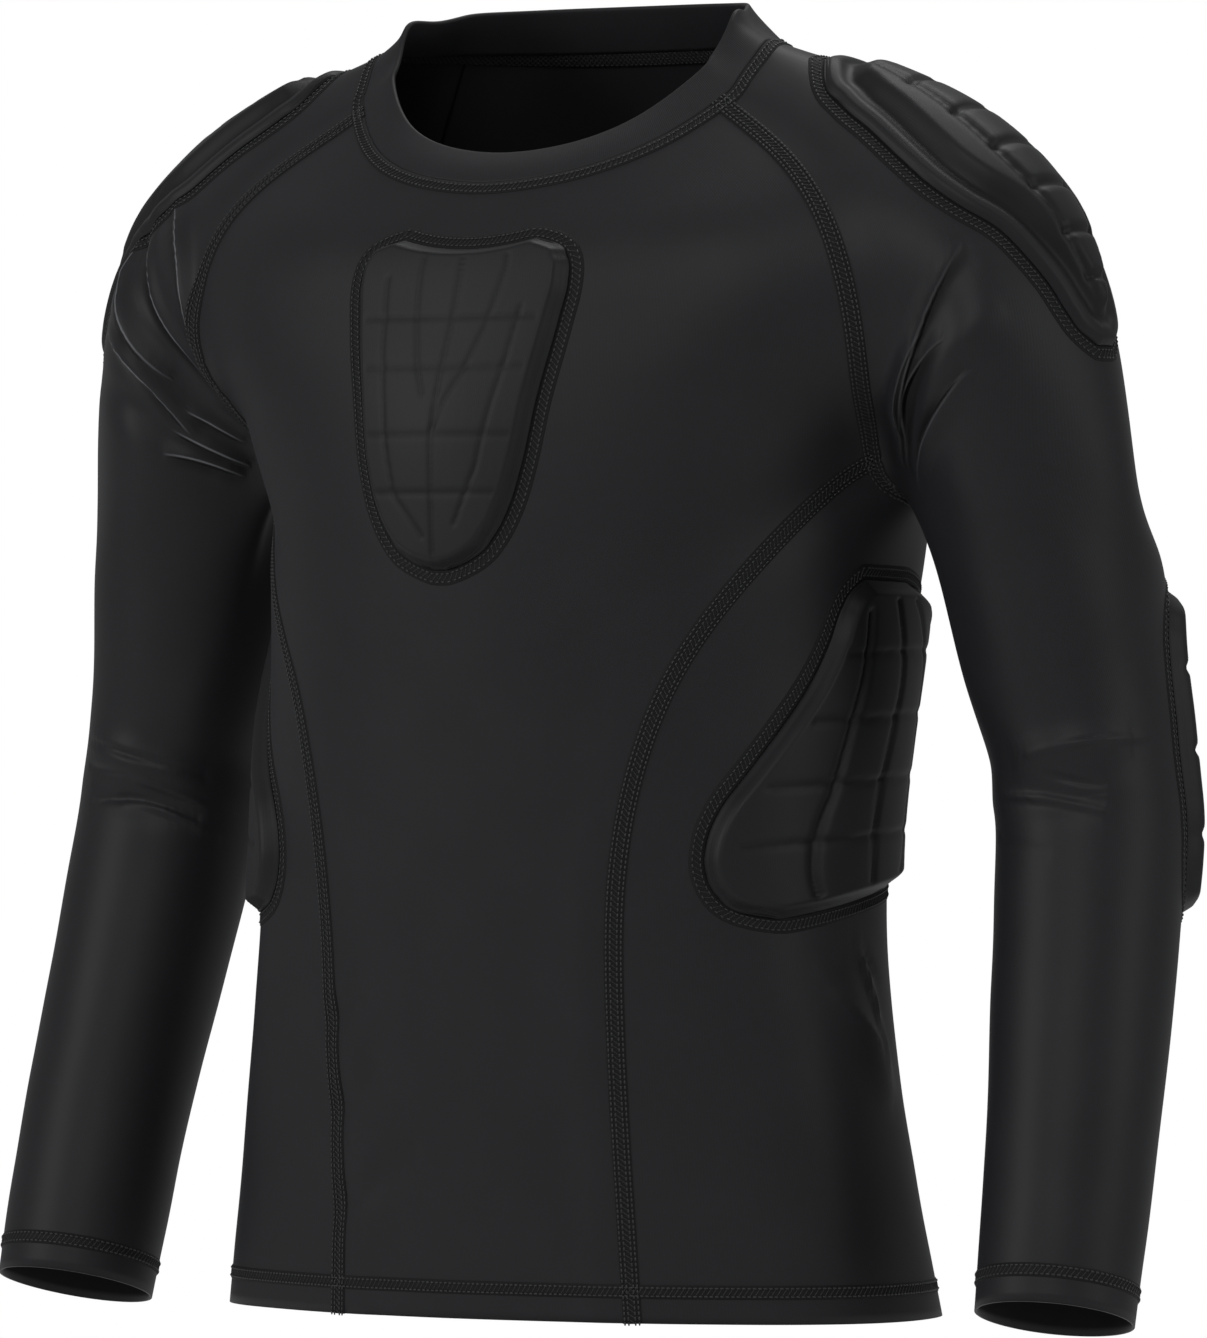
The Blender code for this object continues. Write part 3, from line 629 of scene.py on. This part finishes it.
quad_x = points[quads].mean(axis=1)[:, 0]
piece_of_quad = np.array([
    PANELS[p] + ("" if PANELS[p] in ("front", "back", "collar") else "_left" if x > 0 else "_right")
    for p, x in zip(quad_panel, quad_x)
])
for name, material, slot in (
    ("front", body_knit, "body_knit"),
    ("back", body_knit, "body_knit"),
    ("side_left", body_knit, "side_knit"),
    ("side_right", body_knit, "side_knit"),
    ("sleeve_left", sleeve_knit, "sleeve_knit"),
    ("sleeve_right", sleeve_knit, "sleeve_knit"),
):
    cut_panel(name + "_cloth", np.flatnonzero(piece_of_quad == name), material, slot)
    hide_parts(name)


# The collar: a band of the same knit folded double, its fold at the top, sewn to the neck edge.
COLLAR_THICKNESS = 2.4 * MM
COLLAR_ROWS = 14
COLLAR_PUFF = 0.5 * MM


def edge_chain(edges, closed=False):
    """The vertices of a run of edges, in order."""
    beside = {}
    for a, b in edges:
        beside.setdefault(int(a), []).append(int(b))
        beside.setdefault(int(b), []).append(int(a))
    ends = sorted(v for v, others in beside.items() if len(others) == 1)
    start = ends[0] if ends else min(beside, key=lambda v: (round(abs(points[v][0]), 5), points[v][1]))
    chain, last = [start], None
    while True:
        ahead = [v for v in beside[chain[-1]] if v != last]
        if not ahead or ahead[0] == start or len(chain) > len(beside):
            break
        if last is None and len(ahead) == 2 and points[ahead[1]][0] > points[ahead[0]][0]:
            ahead = ahead[::-1]
        last = chain[-1]
        chain.append(ahead[0])
    return chain


edge_run = np.stack([quads, np.roll(quads, -1, axis=1)], axis=2).reshape(-1, 2)
edge_piece = np.repeat(piece_of_quad, 4)
low, high = np.sort(edge_run, axis=1).T
edge_key = low.astype(np.int64) * len(points) + high
order = np.argsort(edge_key, kind="stable")
edge_key, edge_run, edge_piece = edge_key[order], edge_run[order], edge_piece[order]
pair = np.flatnonzero(edge_key[1:] == edge_key[:-1])
seam_edges = {}
for i in pair[edge_piece[pair] != edge_piece[pair + 1]]:
    seam_edges.setdefault(tuple(sorted((edge_piece[i], edge_piece[i + 1]))), []).append(edge_run[i])
lone = np.ones(len(edge_key), bool)
lone[pair] = lone[pair + 1] = False
rims = {}
for run, piece in zip(edge_run[lone], edge_piece[lone]):
    place = "collar" if piece == "collar" else piece if piece.startswith("sleeve") else "hem"
    rims.setdefault(place, []).append(run)

neck_loop = edge_chain([e for key, edges in seam_edges.items() if "collar" in key for e in edges])
top_loop = edge_chain(rims["collar"])
assert len(neck_loop) == len(top_loop), (len(neck_loop), len(top_loop))


def on_cloth(line, closed):
    """The cloth's point, its normal and the line's direction at each point of a line."""
    places, out = [], []
    for p in line:
        place, normal, _, _ = cloth_tree.find_nearest(Vector(p))
        places.append(place)
        out.append(normal)
    places, out = np.array(places), np.array(out)
    along = np.roll(places, -1, 0) - np.roll(places, 1, 0)
    if not closed:
        along[0], along[-1] = places[1] - places[0], places[-1] - places[-2]
    return places, out, unit(along)


def path_lengths(path):
    """How far along a path each of its points lies."""
    return np.append(0, np.cumsum(np.linalg.norm(np.diff(path, axis=0), axis=1)))


def make_collar():
    foot, top = points[neck_loop], points[top_loop]
    count = len(foot)
    layers = [on_cloth(foot + (top - foot) * w, True) for w in np.linspace(0, 1, COLLAR_ROWS)]
    outer, out = (np.array([layer[k] for layer in layers]) for k in (0, 1))
    out = unit(np.roll(out, 1, 1) + 2 * out + np.roll(out, -1, 1))
    up = unit(outer[-1] - outer[-2])
    outer[0] += unit(outer[1] - outer[0]) * SEAM_GAP / 2
    half = COLLAR_THICKNESS / 2
    puff = np.sin(np.linspace(0, np.pi, COLLAR_ROWS))[:, None, None] * COLLAR_PUFF
    face = outer + out * puff
    middle = outer[-1] - out[-1] * half
    turns = np.linspace(0, math.pi, 9)[1:-1]
    fold = [middle + (out[-1] * math.cos(t) + up * math.sin(t)) * half for t in turns]
    inner = (outer - out * COLLAR_THICKNESS)[::-1]
    rings = np.array([*face, *fold, *inner])
    total = len(rings)
    faces, uv = [], []
    length = path_lengths(np.vstack([foot, foot[:1]]))
    height = np.append(0, np.cumsum(np.linalg.norm(np.diff(rings, axis=0), axis=2).mean(1)))
    height = np.append(height, height[-1] + COLLAR_THICKNESS)
    for j in range(total):
        here, above = j * count, (j + 1) % total * count
        for i in range(count):
            k = (i + 1) % count
            faces.append((here + i, here + k, above + k, above + i))
            uv.append([(length[i], height[j]), (length[i + 1], height[j]),
                       (length[i + 1], height[j + 1]), (length[i], height[j + 1])])
    places = rings.reshape(-1, 3)
    return new_piece("collar_band", places, np.array(faces), collar_knit, "collar_knit", np.array(uv))


collar = make_collar()
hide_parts("collar")


# The foam pads: quilted foam under a cover of the same knit, whose edge is stitched flat to the
# panel. Grooves divide the foam into blocks, so that it bends with the body.
PadRow = namedtuple("PadRow", "angle height far_angle far_height")
ELBOW_TURN = 64
SHOULDER_CENTRE = (0.1400, 0.0140, -0.1450)
CHEST_ROWS = [
    PadRow(-a, z * MM, a, z * MM)
    for a, z in (
        (19.5, -81.5), (24.6, -84), (27.3, -90), (27.6, -100), (25.7, -116), (21.3, -149),
        (17.9, -181), (15.6, -196), (12.5, -208), (8.4, -217), (4.6, -220.8), (1.6, -222.6),
    )
]
RIB_ROWS = [
    PadRow(a, z * MM, far_a, far_z * MM)
    for a, z, far_a, far_z in (
        (88, -226.5, 103, -227.5), (85, -231, 110, -231), (82.5, -238.5, 116.5, -237),
        (79.5, -253, 123.5, -249),
        (74.5, -272, 129, -265), (68.5, -290, 131, -281), (62, -309, 132, -298), (57, -324, 132, -313),
        (54.5, -337, 131, -325), (54, -350, 129, -335), (56, -361, 125, -343), (60, -368, 119, -349),
        (67, -371, 110, -354),
    )
]
SHOULDER_ROWS = [
    PadRow(-w, e, w, e)
    for w, e in (
        (7, 97), (12, 95), (16, 90), (19.5, 81), (22.5, 71), (24, 60), (22.5, 50), (18.5, 41), (15.5, 32),
        (12.5, 24), (10, 17), (7, 12), (3, 9),
    )
]
ELBOW_ROWS = [
    PadRow(ELBOW_TURN - a, z * MM, ELBOW_TURN + a, z * MM)
    for a, z in (
        (17, -230), (31, -235), (41, -246), (47, -266), (50, -289),
        (50, -312), (47, -334), (41, -353), (31, -365), (17, -370),
    )
]


def torso_ray(angle, height):
    turn = math.radians(angle)
    return (0, 0, height), (math.sin(turn), -math.cos(turn), 0)


def shoulder_ray(angle, height):
    back, up = math.radians(angle), math.radians(height)
    return SHOULDER_CENTRE, (math.cos(up) * math.cos(back), math.sin(back), math.sin(up) * math.cos(back))


def elbow_ray(angle, height):
    turn = math.radians(angle)
    sections = np.array(SLEEVE) * MM
    centre = [np.interp(-height, -sections[:, 2], sections[:, i]) for i in (0, 1)]
    return (*centre, height), (math.cos(turn), math.sin(turn), 0)


# A groove runs through points given as shares of the pad's width and length, its own sizes in mm
Groove = namedtuple("Groove", "path width depth")
PadLook = namedtuple("PadLook", "chart rows lip slope plain grooves dip shade fill")
CHEST_GROOVES = [
    Groove([(0.17, 0.12), (0.17, 0.35), (0.19, 0.60), (0.22, 0.78), (0.40, 0.90)], 1.2, 0.45),
    Groove([(0.33, 0.03), (0.34, 0.25), (0.37, 0.40), (0.41, 0.48)], 1.2, 0.4),
    Groove([(0.54, 0.03), (0.53, 0.25), (0.50, 0.45), (0.48, 0.60), (0.49, 0.80), (0.50, 0.97)], 1.2, 0.5),
    Groove([(0.76, 0.05), (0.70, 0.28), (0.62, 0.42), (0.54, 0.50), (0.49, 0.58)], 1.2, 0.4),
    Groove([(0.85, 0.22), (0.83, 0.40), (0.79, 0.55), (0.76, 0.70), (0.68, 0.86)], 1.2, 0.45),
    *(Groove([(0.08, v), (0.92, v)], 1.3, 0.35) for v in (0.25, 0.40, 0.60, 0.77)),
]
RIB_GROOVES = [
    Groove([(0.16, 0.10), (0.20, 0.35), (0.26, 0.65), (0.24, 0.95)], 2.2, 2.0),
    Groove([(0.40, 0.06), (0.42, 0.45), (0.46, 0.94)], 1.8, 1.2),
    Groove([(0.62, 0.06), (0.62, 0.45), (0.64, 0.94)], 1.8, 1.2),
    Groove([(0.82, 0.10), (0.82, 0.45), (0.82, 0.90)], 1.8, 1.2),
    *(Groove([(0.08, v), (0.95, v)], 1.8, 0.8) for v in (0.22, 0.42, 0.62, 0.80)),
]
SHOULDER_GROOVES = [
    *(Groove([(0.34, v), (0.66, v)], 2.0, 2.2) for v in (0.19, 0.32, 0.45, 0.58, 0.71, 0.83)),
    Groove([(0.36, 0.08), (0.33, 0.50), (0.36, 0.90)], 2.2, 1.6),
    Groove([(0.64, 0.08), (0.67, 0.50), (0.64, 0.90)], 2.2, 1.6),
]
ELBOW_GROOVES = [
    *(Groove([(0.06, v), (0.94, v)], 2.0, 1.6) for v in (0.25, 0.50, 0.75)),
    *(Groove([(u, 0.06), (u, 0.94)], 2.0, 1.4) for u in (0.25, 0.50, 0.75)),
]
PAD_THICKNESS = 7.0 * MM
PAD_CLEARANCE = 0.25 * MM
PAD_EDGE = 0.5 * MM
EDGE_ROUNDING = 0.35
GROOVE_FADE = 4 * MM
LIP_SHARE, LIP_SLOPE = 0.42, 4 * MM
HOLLOW_DEPTH, HOLLOW_START, HOLLOW_SLOPE = 0.75, 6 * MM, 5 * MM
CROWDING = 0.55
PAD_STEPS = ((96, 128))


def smooth_row(rows, share):
    """A pad's row at a share of its length, on a smooth curve through the table's rows."""
    table = np.array(rows, float)
    middles = table[:, [1, 3]].mean(axis=1)
    shares = (middles - middles[0]) / (middles[-1] - middles[0])
    i = int(np.clip(np.searchsorted(shares, share) - 1, 0, len(rows) - 2))
    a, b, c, d = (table[k] for k in (max(i - 1, 0), i, i + 1, min(i + 2, len(rows) - 1)))
    span = shares[i + 1] - shares[i]
    t = (share - shares[i]) / span
    before = shares[i] - shares[max(i - 1, 0)] or span
    after = shares[min(i + 2, len(rows) - 1)] - shares[i + 1] or span
    slope_b = ((c - b) / span * before + (b - a) / before * span) / (before + span)
    slope_c = ((d - c) / after * span + (c - b) / span * after) / (after + span)
    return ((2 * t**3 - 3 * t**2 + 1) * b + (t**3 - 2 * t**2 + t) * slope_b * span
            + (3 * t**2 - 2 * t**3) * c + (t**3 - t**2) * slope_c * span)


def pad_ray(look, side, u, v):
    """The cloth's point and normal under a pad, at shares of the pad's width and length."""
    row = smooth_row(look.rows, min(max(v, 0), 1))
    angle = row[0] + (row[2] - row[0]) * u
    height = row[1] + (row[3] - row[1]) * u
    height -= look.dip * (1 - (2 * u - 1) ** 2) * max(0, 1 - v * 4)
    origin, direction = look.chart(angle, height)
    mirror = Vector((side, 1, 1))
    place, normal, _, _ = cloth_tree.ray_cast(Vector(origin) * mirror, Vector(direction) * mirror)
    return np.array(place), np.array(normal)


def smoothed_rows(grid):
    """Evens out the small facets of the cloth in a grid of normals."""
    for _ in range(2):
        padded = np.pad(grid, ((1, 1), (1, 1), (0, 0)), mode="edge")
        beside = padded[:-2, 1:-1] + padded[2:, 1:-1] + padded[1:-1, :-2] + padded[1:-1, 2:]
        grid = (padded[1:-1, 1:-1] * 2 + beside) / 6
    return unit(grid)


def ease(t):
    t = np.clip(t, 0, 1)
    return t * t * (3 - 2 * t)


def crowded(count):
    """Shares from 0 to 1 that lie closer together near both ends."""
    turns = np.linspace(0, np.pi, count + 1)
    return (1 - np.cos(turns)) / 2 * CROWDING + np.linspace(0, 1, count + 1) * (1 - CROWDING)


def make_pad(name, node, look, side):
    columns, rows = PAD_STEPS
    us, vs = crowded(columns), crowded(rows)
    hits = [[pad_ray(look, side, u, v) for u in us] for v in vs]
    base = np.array([[h[0] for h in row] for row in hits])
    out = smoothed_rows(np.array([[h[1] for h in row] for row in hits]))
    border = np.concatenate([base[0], base[-1], base[:, 0], base[:, -1]])
    flat = base.reshape(-1, 3)
    edge = np.array([np.sqrt(((border - p) ** 2).sum(1).min()) for p in flat]).reshape(base.shape[:2])
    share = LIP_SHARE if look.lip else 0
    inside = ease((edge - look.lip) / look.slope)
    hollow = HOLLOW_DEPTH * ease((edge - HOLLOW_START) / HOLLOW_SLOPE) * (1 - inside)
    lip = share * np.sqrt(ease(edge / LIP_SLOPE)) * (1 - hollow)
    rise = lip + (1 - share) * (EDGE_ROUNDING * np.sqrt(inside) + (1 - EDGE_ROUNDING) * inside)
    height = PAD_EDGE + (PAD_THICKNESS - PAD_EDGE) * rise
    # Painted shade: the cover is darkened in the shoulder pad's hollow and along the grooves
    painted_recess_shade = hollow * look.shade if look.lip else np.zeros_like(height)
    for groove in look.grooves:
        knots = np.array(groove.path)
        shares = np.linspace(0, len(knots) - 1, 60)
        line = np.stack([np.interp(shares, range(len(knots)), knots[:, k]) for k in (0, 1)], axis=1)
        line = np.array([pad_ray(look, side, u, v)[0] for u, v in line])
        distance = np.sqrt(((flat[:, None] - line[None]) ** 2).sum(2).min(1)).reshape(edge.shape)
        plain = ease((edge - look.plain) / GROOVE_FADE)
        bell = np.exp(-((distance / (groove.width * MM)) ** 2)) * plain
        height -= groove.depth * MM * bell
        painted_recess_shade = np.maximum(painted_recess_shade, look.shade * bell)
    top = base + out * (PAD_CLEARANCE + height)[:, :, None]
    under = base + out * PAD_CLEARANCE
    count = (columns + 1) * (rows + 1)
    index = np.arange(count).reshape(rows + 1, columns + 1)
    a, b, c, d = index[:-1, :-1], index[:-1, 1:], index[1:, 1:], index[1:, :-1]
    sheet = np.stack([a, b, c, d], axis=2).reshape(-1, 4)
    ring = np.concatenate([index[0], index[1:, -1], index[-1, -2::-1], index[-2:0:-1, 0]])
    following = np.roll(ring, -1)
    wall = np.stack([ring, ring + count, following + count, following], axis=1)
    middle_lines = path_lengths(base[rows // 2]), path_lengths(base[:, columns // 2])
    uv_of = np.stack(np.meshgrid(*middle_lines), axis=2).reshape(-1, 2)
    uv_of = np.concatenate([uv_of, uv_of])
    across = base[0, -1] - base[0, 0]
    down = base[-1, 0] - base[0, 0]
    faces = np.concatenate([sheet, sheet[:, ::-1] + count, wall])
    if np.dot(np.cross(across, down), out.mean(axis=(0, 1))) < 0:
        faces = faces[:, ::-1]
    places = np.concatenate([top.reshape(-1, 3), under.reshape(-1, 3)])
    pad = new_piece(name, places, faces, pad_cover, "pad_cover", uv_of[faces])
    # The painted shade mask, on the cover's top points only
    mask = pad.data.attributes.new("painted_recess_shade", "FLOAT", "POINT")
    mask.data.foreach_set("value", np.append(painted_recess_shade.ravel(), np.zeros(count)))
    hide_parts(node)


chest_look = PadLook(torso_ray, CHEST_ROWS, 0, 5.6 * MM, 3.5 * MM, CHEST_GROOVES, 0.0045, 0.75, 0.8)
rib_look = PadLook(torso_ray, RIB_ROWS, 0, 6.0 * MM, 3.5 * MM, RIB_GROOVES, 0, 0.5, 0.8)
shoulder_look = PadLook(
    shoulder_ray, SHOULDER_ROWS, 12.0 * MM, 9.0 * MM, 15.0 * MM, SHOULDER_GROOVES, 0, 0.6, 0.8
)
elbow_look = PadLook(elbow_ray, ELBOW_ROWS, 0, 7.0 * MM, 4.0 * MM, ELBOW_GROOVES, 0, 0.4, 0.8)
pads = [("chest_pad", chest_look, 1)]
for side, side_name in ((1, "left"), (-1, "right")):
    pads += [
        ("rib_pad_" + side_name, rib_look, side),
        ("shoulder_pad_" + side_name, shoulder_look, side),
        ("elbow_pad_" + side_name, elbow_look, side),
    ]
for node, look, side in pads:
    make_pad(node + "_cover", node, look, side)


# The stitching: flatlock seams lie flat, with rows of short stitches along both sides and threads
# crossing between them. Hems, cuffs and the pads' edges have a double row.
STITCH_PITCH = 2.3 * MM
STITCH_HALF_LENGTH, STITCH_RADIUS = 0.88 * MM, 0.45 * MM
CROSSING_RADIUS = 0.17 * MM
thread = new_finish("black_thread", {"Roughness": 0.42, "Specular IOR Level": 0.45})
twine = thread.node_tree
spot = add_node(twine, "TexCoord").outputs["Object"]
twist = add_node(twine, "TexNoise", {"Scale": 900, "Vector": spot}).outputs["Fac"]
tones = add_node(twine, "ValToRGB", {"Fac": twist})
for stop, tone in zip(tones.color_ramp.elements, ((0.005, 0.005, 0.0055, 1), (0.034, 0.035, 0.038, 1))):
    stop.color = tone
feed(twine, twine.nodes["Principled BSDF"], {"Base Color": tones.outputs["Color"]})

bpy.ops.object.select_all(action="DESELECT")
bpy.ops.mesh.primitive_uv_sphere_add(segments=5, ring_count=4, radius=1)
stitch = bpy.context.object
bpy.ops.object.mode_set(mode="EDIT")
bpy.ops.mesh.select_all(action="SELECT")
bpy.ops.transform.rotate(value=math.pi / 2, orient_axis="Y", center_override=(0, 0, 0))
bpy.ops.object.mode_set(mode="OBJECT")
stitch_points = np.array([v.co for v in stitch.data.vertices])
stitch_faces = [tuple(f.vertices) for f in stitch.data.polygons]
bpy.data.objects.remove(stitch)


def even_line(path, step, closed):
    """A path's points again at even steps, smoothed a little."""
    path = np.array(path, float)
    if closed:
        path = np.vstack([path, path[:1]])
    for _ in range(2):
        inner = (path[:-2] + 2 * path[1:-1] + path[2:]) / 4
        path = np.vstack([path[:1], inner, path[-1:]])
    length = path_lengths(path)
    count = max(2, int(round(length[-1] / step)))
    at = np.linspace(0, length[-1], count + 1)[: count if closed else count + 1]
    return np.stack([np.interp(at, length, path[:, k]) for k in range(3)], axis=1)


def stitch_rows(path, closed, offsets, crossing, lift=0.25 * MM, inner=False):
    """The stitches along a line, as (centre, direction, normal, half length, radius)."""
    found = []
    line = even_line(path, STITCH_PITCH, closed)
    places, out, along = on_cloth(line, closed)
    aside = np.cross(out, along)
    flip = -1 if inner else 1
    rows = {}
    for offset in offsets:
        row, row_out, row_along = on_cloth(places + aside * offset, closed)
        rows[offset] = row
        centre = row + row_out * (lift - (KNIT_THICKNESS + 2 * lift if inner else 0))
        found.append((centre, row_along, row_out * flip, STITCH_HALF_LENGTH, STITCH_RADIUS))
    for low_side, high_side in crossing:
        a, b = rows[low_side], np.roll(rows[high_side], -1, 0)
        row_out = out
        if not closed:
            a, b, row_out = a[:-1], b[:-1], out[:-1]
        span = b - a
        size = np.linalg.norm(span, axis=1)
        centre = (a + b) / 2 + row_out * (lift * 0.8 - (KNIT_THICKNESS + 2 * lift if inner else 0))
        found.append((centre, span / size[:, None], row_out * flip, size[:, None] / 2, CROSSING_RADIUS))
    return found


def sew(name, runs):
    """One piece of thread from many stitches."""
    places = []
    for centre, along, out, half, radius in runs:
        aside = unit(np.cross(out, along))
        half = np.broadcast_to(half, (len(centre), 1)) if np.ndim(half) else np.full((len(centre), 1), half)
        block = (
            centre[:, None] + (along * half)[:, None] * stitch_points[None, :, :1]
            + aside[:, None] * (radius * stitch_points[None, :, 1:2])
            + out[:, None] * (radius * 0.8 * stitch_points[None, :, 2:3])
        )
        places.append(block.reshape(-1, 3))
    places = np.concatenate(places)
    count = len(places) // len(stitch_points)
    faces = [tuple(k + i * len(stitch_points) for k in face) for i in range(count) for face in stitch_faces]
    new_piece(name, places, faces, thread, "pad_cover")


cover_thread = cloth_material(
    "cover_thread", (0.0030, 0.0030, 0.0034), (0.0085, 0.0087, 0.0098), 0.7, bump=0.6
)
BAND_STEP, BAND_ROW = 2.4 * MM, 1.5 * MM
BAND_EDGE = 0.35 * MM
BAND_THICKNESS = 0.3 * MM


def cover_bands(name, lines):
    """Flat bands of covering thread along lines, each (path, closed, first and last offset, height)."""
    places, faces, uv = [], [], []
    for path, closed, first, last, height in lines:
        line = even_line(path, BAND_STEP, closed)
        on, out, along = on_cloth(line, closed)
        aside = np.cross(out, along)
        rows = []
        sunk = -BAND_THICKNESS / 2 if height > 0 else BAND_THICKNESS / 2 - KNIT_THICKNESS
        profile = [(first + (last - first) * w, height) for w in (0, 0.25, 0.5, 0.75, 1)]
        for offset, lift in [(first - BAND_EDGE, sunk), *profile, (last + BAND_EDGE, sunk)]:
            row, row_out, _ = on_cloth(on + aside * offset, closed)
            rows.append(row + row_out * lift)
        rows = np.array(rows)
        start, count = sum(map(len, places)), len(line)
        places.append(rows.reshape(-1, 3))
        for j in range(len(rows) - 1):
            for i in range(count if closed else count - 1):
                k = (i + 1) % count
                low, high = start + j * count, start + (j + 1) * count
                faces.append((low + i, low + k, high + k, high + i))
                x, y = i * BAND_STEP, j * BAND_ROW
                uv.append([(x, y), (x + BAND_STEP, y), (x + BAND_STEP, y + BAND_ROW), (x, y + BAND_ROW)])
    band = new_piece(name, np.concatenate(places), faces, cover_thread, "pad_cover", np.array(uv))
    band_wall = band.modifiers.new("Solidify", "SOLIDIFY")
    band_wall.thickness = BAND_THICKNESS
    band_wall.offset = -1


FLATLOCK = (-3.2 * MM, -1.5 * MM, 1.5 * MM, 3.2 * MM)
BAND = 4.0 * MM
SEAM_LIFT, SEAM_BAND_LIFT = 0.55 * MM, 0.35 * MM


def sew_seams(stitches, bands, seams):
    """The threads of flatlock seams, each seam given by its two panels."""
    paths = [points[edge_chain(seam_edges[tuple(sorted(seam))])] for seam in seams]
    runs = [stitch_rows(path, False, FLATLOCK, [FLATLOCK[1:3]], SEAM_LIFT) for path in paths]
    sew(stitches, sum(runs, []))
    cover_bands(bands, [(path, False, -BAND, BAND, SEAM_BAND_LIFT) for path in paths])


sew_seams("side_seam_stitches", "side_seam_bands", [
    (panel, side) for side in ("side_left", "side_right") for panel in ("front", "back")
])
for side_name in ("left", "right"):
    sew_seams("raglan_stitches_" + side_name, "raglan_bands_" + side_name, [
        (panel, "sleeve_" + side_name) for panel in ("front", "back", "side_" + side_name)
    ])

neck = points[neck_loop]
NECK_ROWS = (-5.0 * MM, -1.8 * MM)
neck_runs = stitch_rows(neck, True, NECK_ROWS, [NECK_ROWS], 0.5 * MM)
neck_bands = [(neck, True, -6.0 * MM, -0.3 * MM, 0.3 * MM)]
behind = np.flatnonzero(neck[:, 1] > -0.020)
gap = int(np.flatnonzero(np.diff(behind) > 1)[0]) + 1 if (np.diff(behind) > 1).any() else 0
back_neck = neck[np.roll(behind, -gap)]
BRAID_ROWS = (-6.2 * MM, -3.6 * MM, -1.0 * MM)
for a, b in ((0, 1), (1, 0), (1, 2), (2, 1)):
    braid = [(BRAID_ROWS[a], BRAID_ROWS[b])]
    neck_runs += stitch_rows(back_neck, False, BRAID_ROWS, braid, SEAM_LIFT, inner=True)
neck_bands.append((back_neck, False, -6.8 * MM, -0.4 * MM, -KNIT_THICKNESS - SEAM_BAND_LIFT))
sew("neck_stitches", neck_runs)
cover_bands("neck_bands", neck_bands)

hem = points[edge_chain(rims["hem"])]
HEM_ROWS = (12.0 * MM, 15.5 * MM)
HEM_BAND = (11.0 * MM, 16.5 * MM)
sew("hem_stitches", stitch_rows(hem, True, HEM_ROWS, [HEM_ROWS], SEAM_LIFT))
hem_bands = [(hem, True, *HEM_BAND, SEAM_BAND_LIFT)]
for side_name in ("left", "right"):
    cuff = points[edge_chain(rims["sleeve_" + side_name])]
    sew("cuff_stitches_" + side_name, stitch_rows(cuff, True, HEM_ROWS, [HEM_ROWS], SEAM_LIFT))
    hem_bands.append((cuff, True, *HEM_BAND, SEAM_BAND_LIFT))
cover_bands("hem_bands", hem_bands)


def pad_outline(look, side):
    """The line round a pad's edge, on the cloth."""
    us, vs = np.linspace(0, 1, 30), np.linspace(0, 1, 60)
    ring = [(u, 0) for u in us] + [(1, v) for v in vs[1:]]
    ring += [(u, 1) for u in us[-2::-1]] + [(0, v) for v in vs[-2:0:-1]]
    return [pad_ray(look, side, u, v)[0] for u, v in ring]


PAD_STITCHES = (1.8 * MM, 5.2 * MM)
pad_bands = []
for node, look, side in pads:
    line = np.array(pad_outline(look, side))
    turn = np.cross(np.roll(line, -1, 0) - line, line - line.mean(0))
    outwards = np.sign((turn @ pad_ray(look, side, 0.5, 0.5)[1]).sum())
    rows = tuple(outwards * d for d in PAD_STITCHES)
    sew(node + "_stitches", stitch_rows(line, True, rows, [rows], 0.5 * MM))
    low_side, high_side = sorted((outwards * 0.3 * MM, outwards * 6.6 * MM))
    pad_bands.append((line, True, low_side, high_side, 0.3 * MM))
cover_bands("pad_edge_bands", pad_bands)


# The size of the cut of a panel that shows, as its width, length and area. A panel's seams hold it stretched.
Cut = namedtuple("Cut", "width length area")
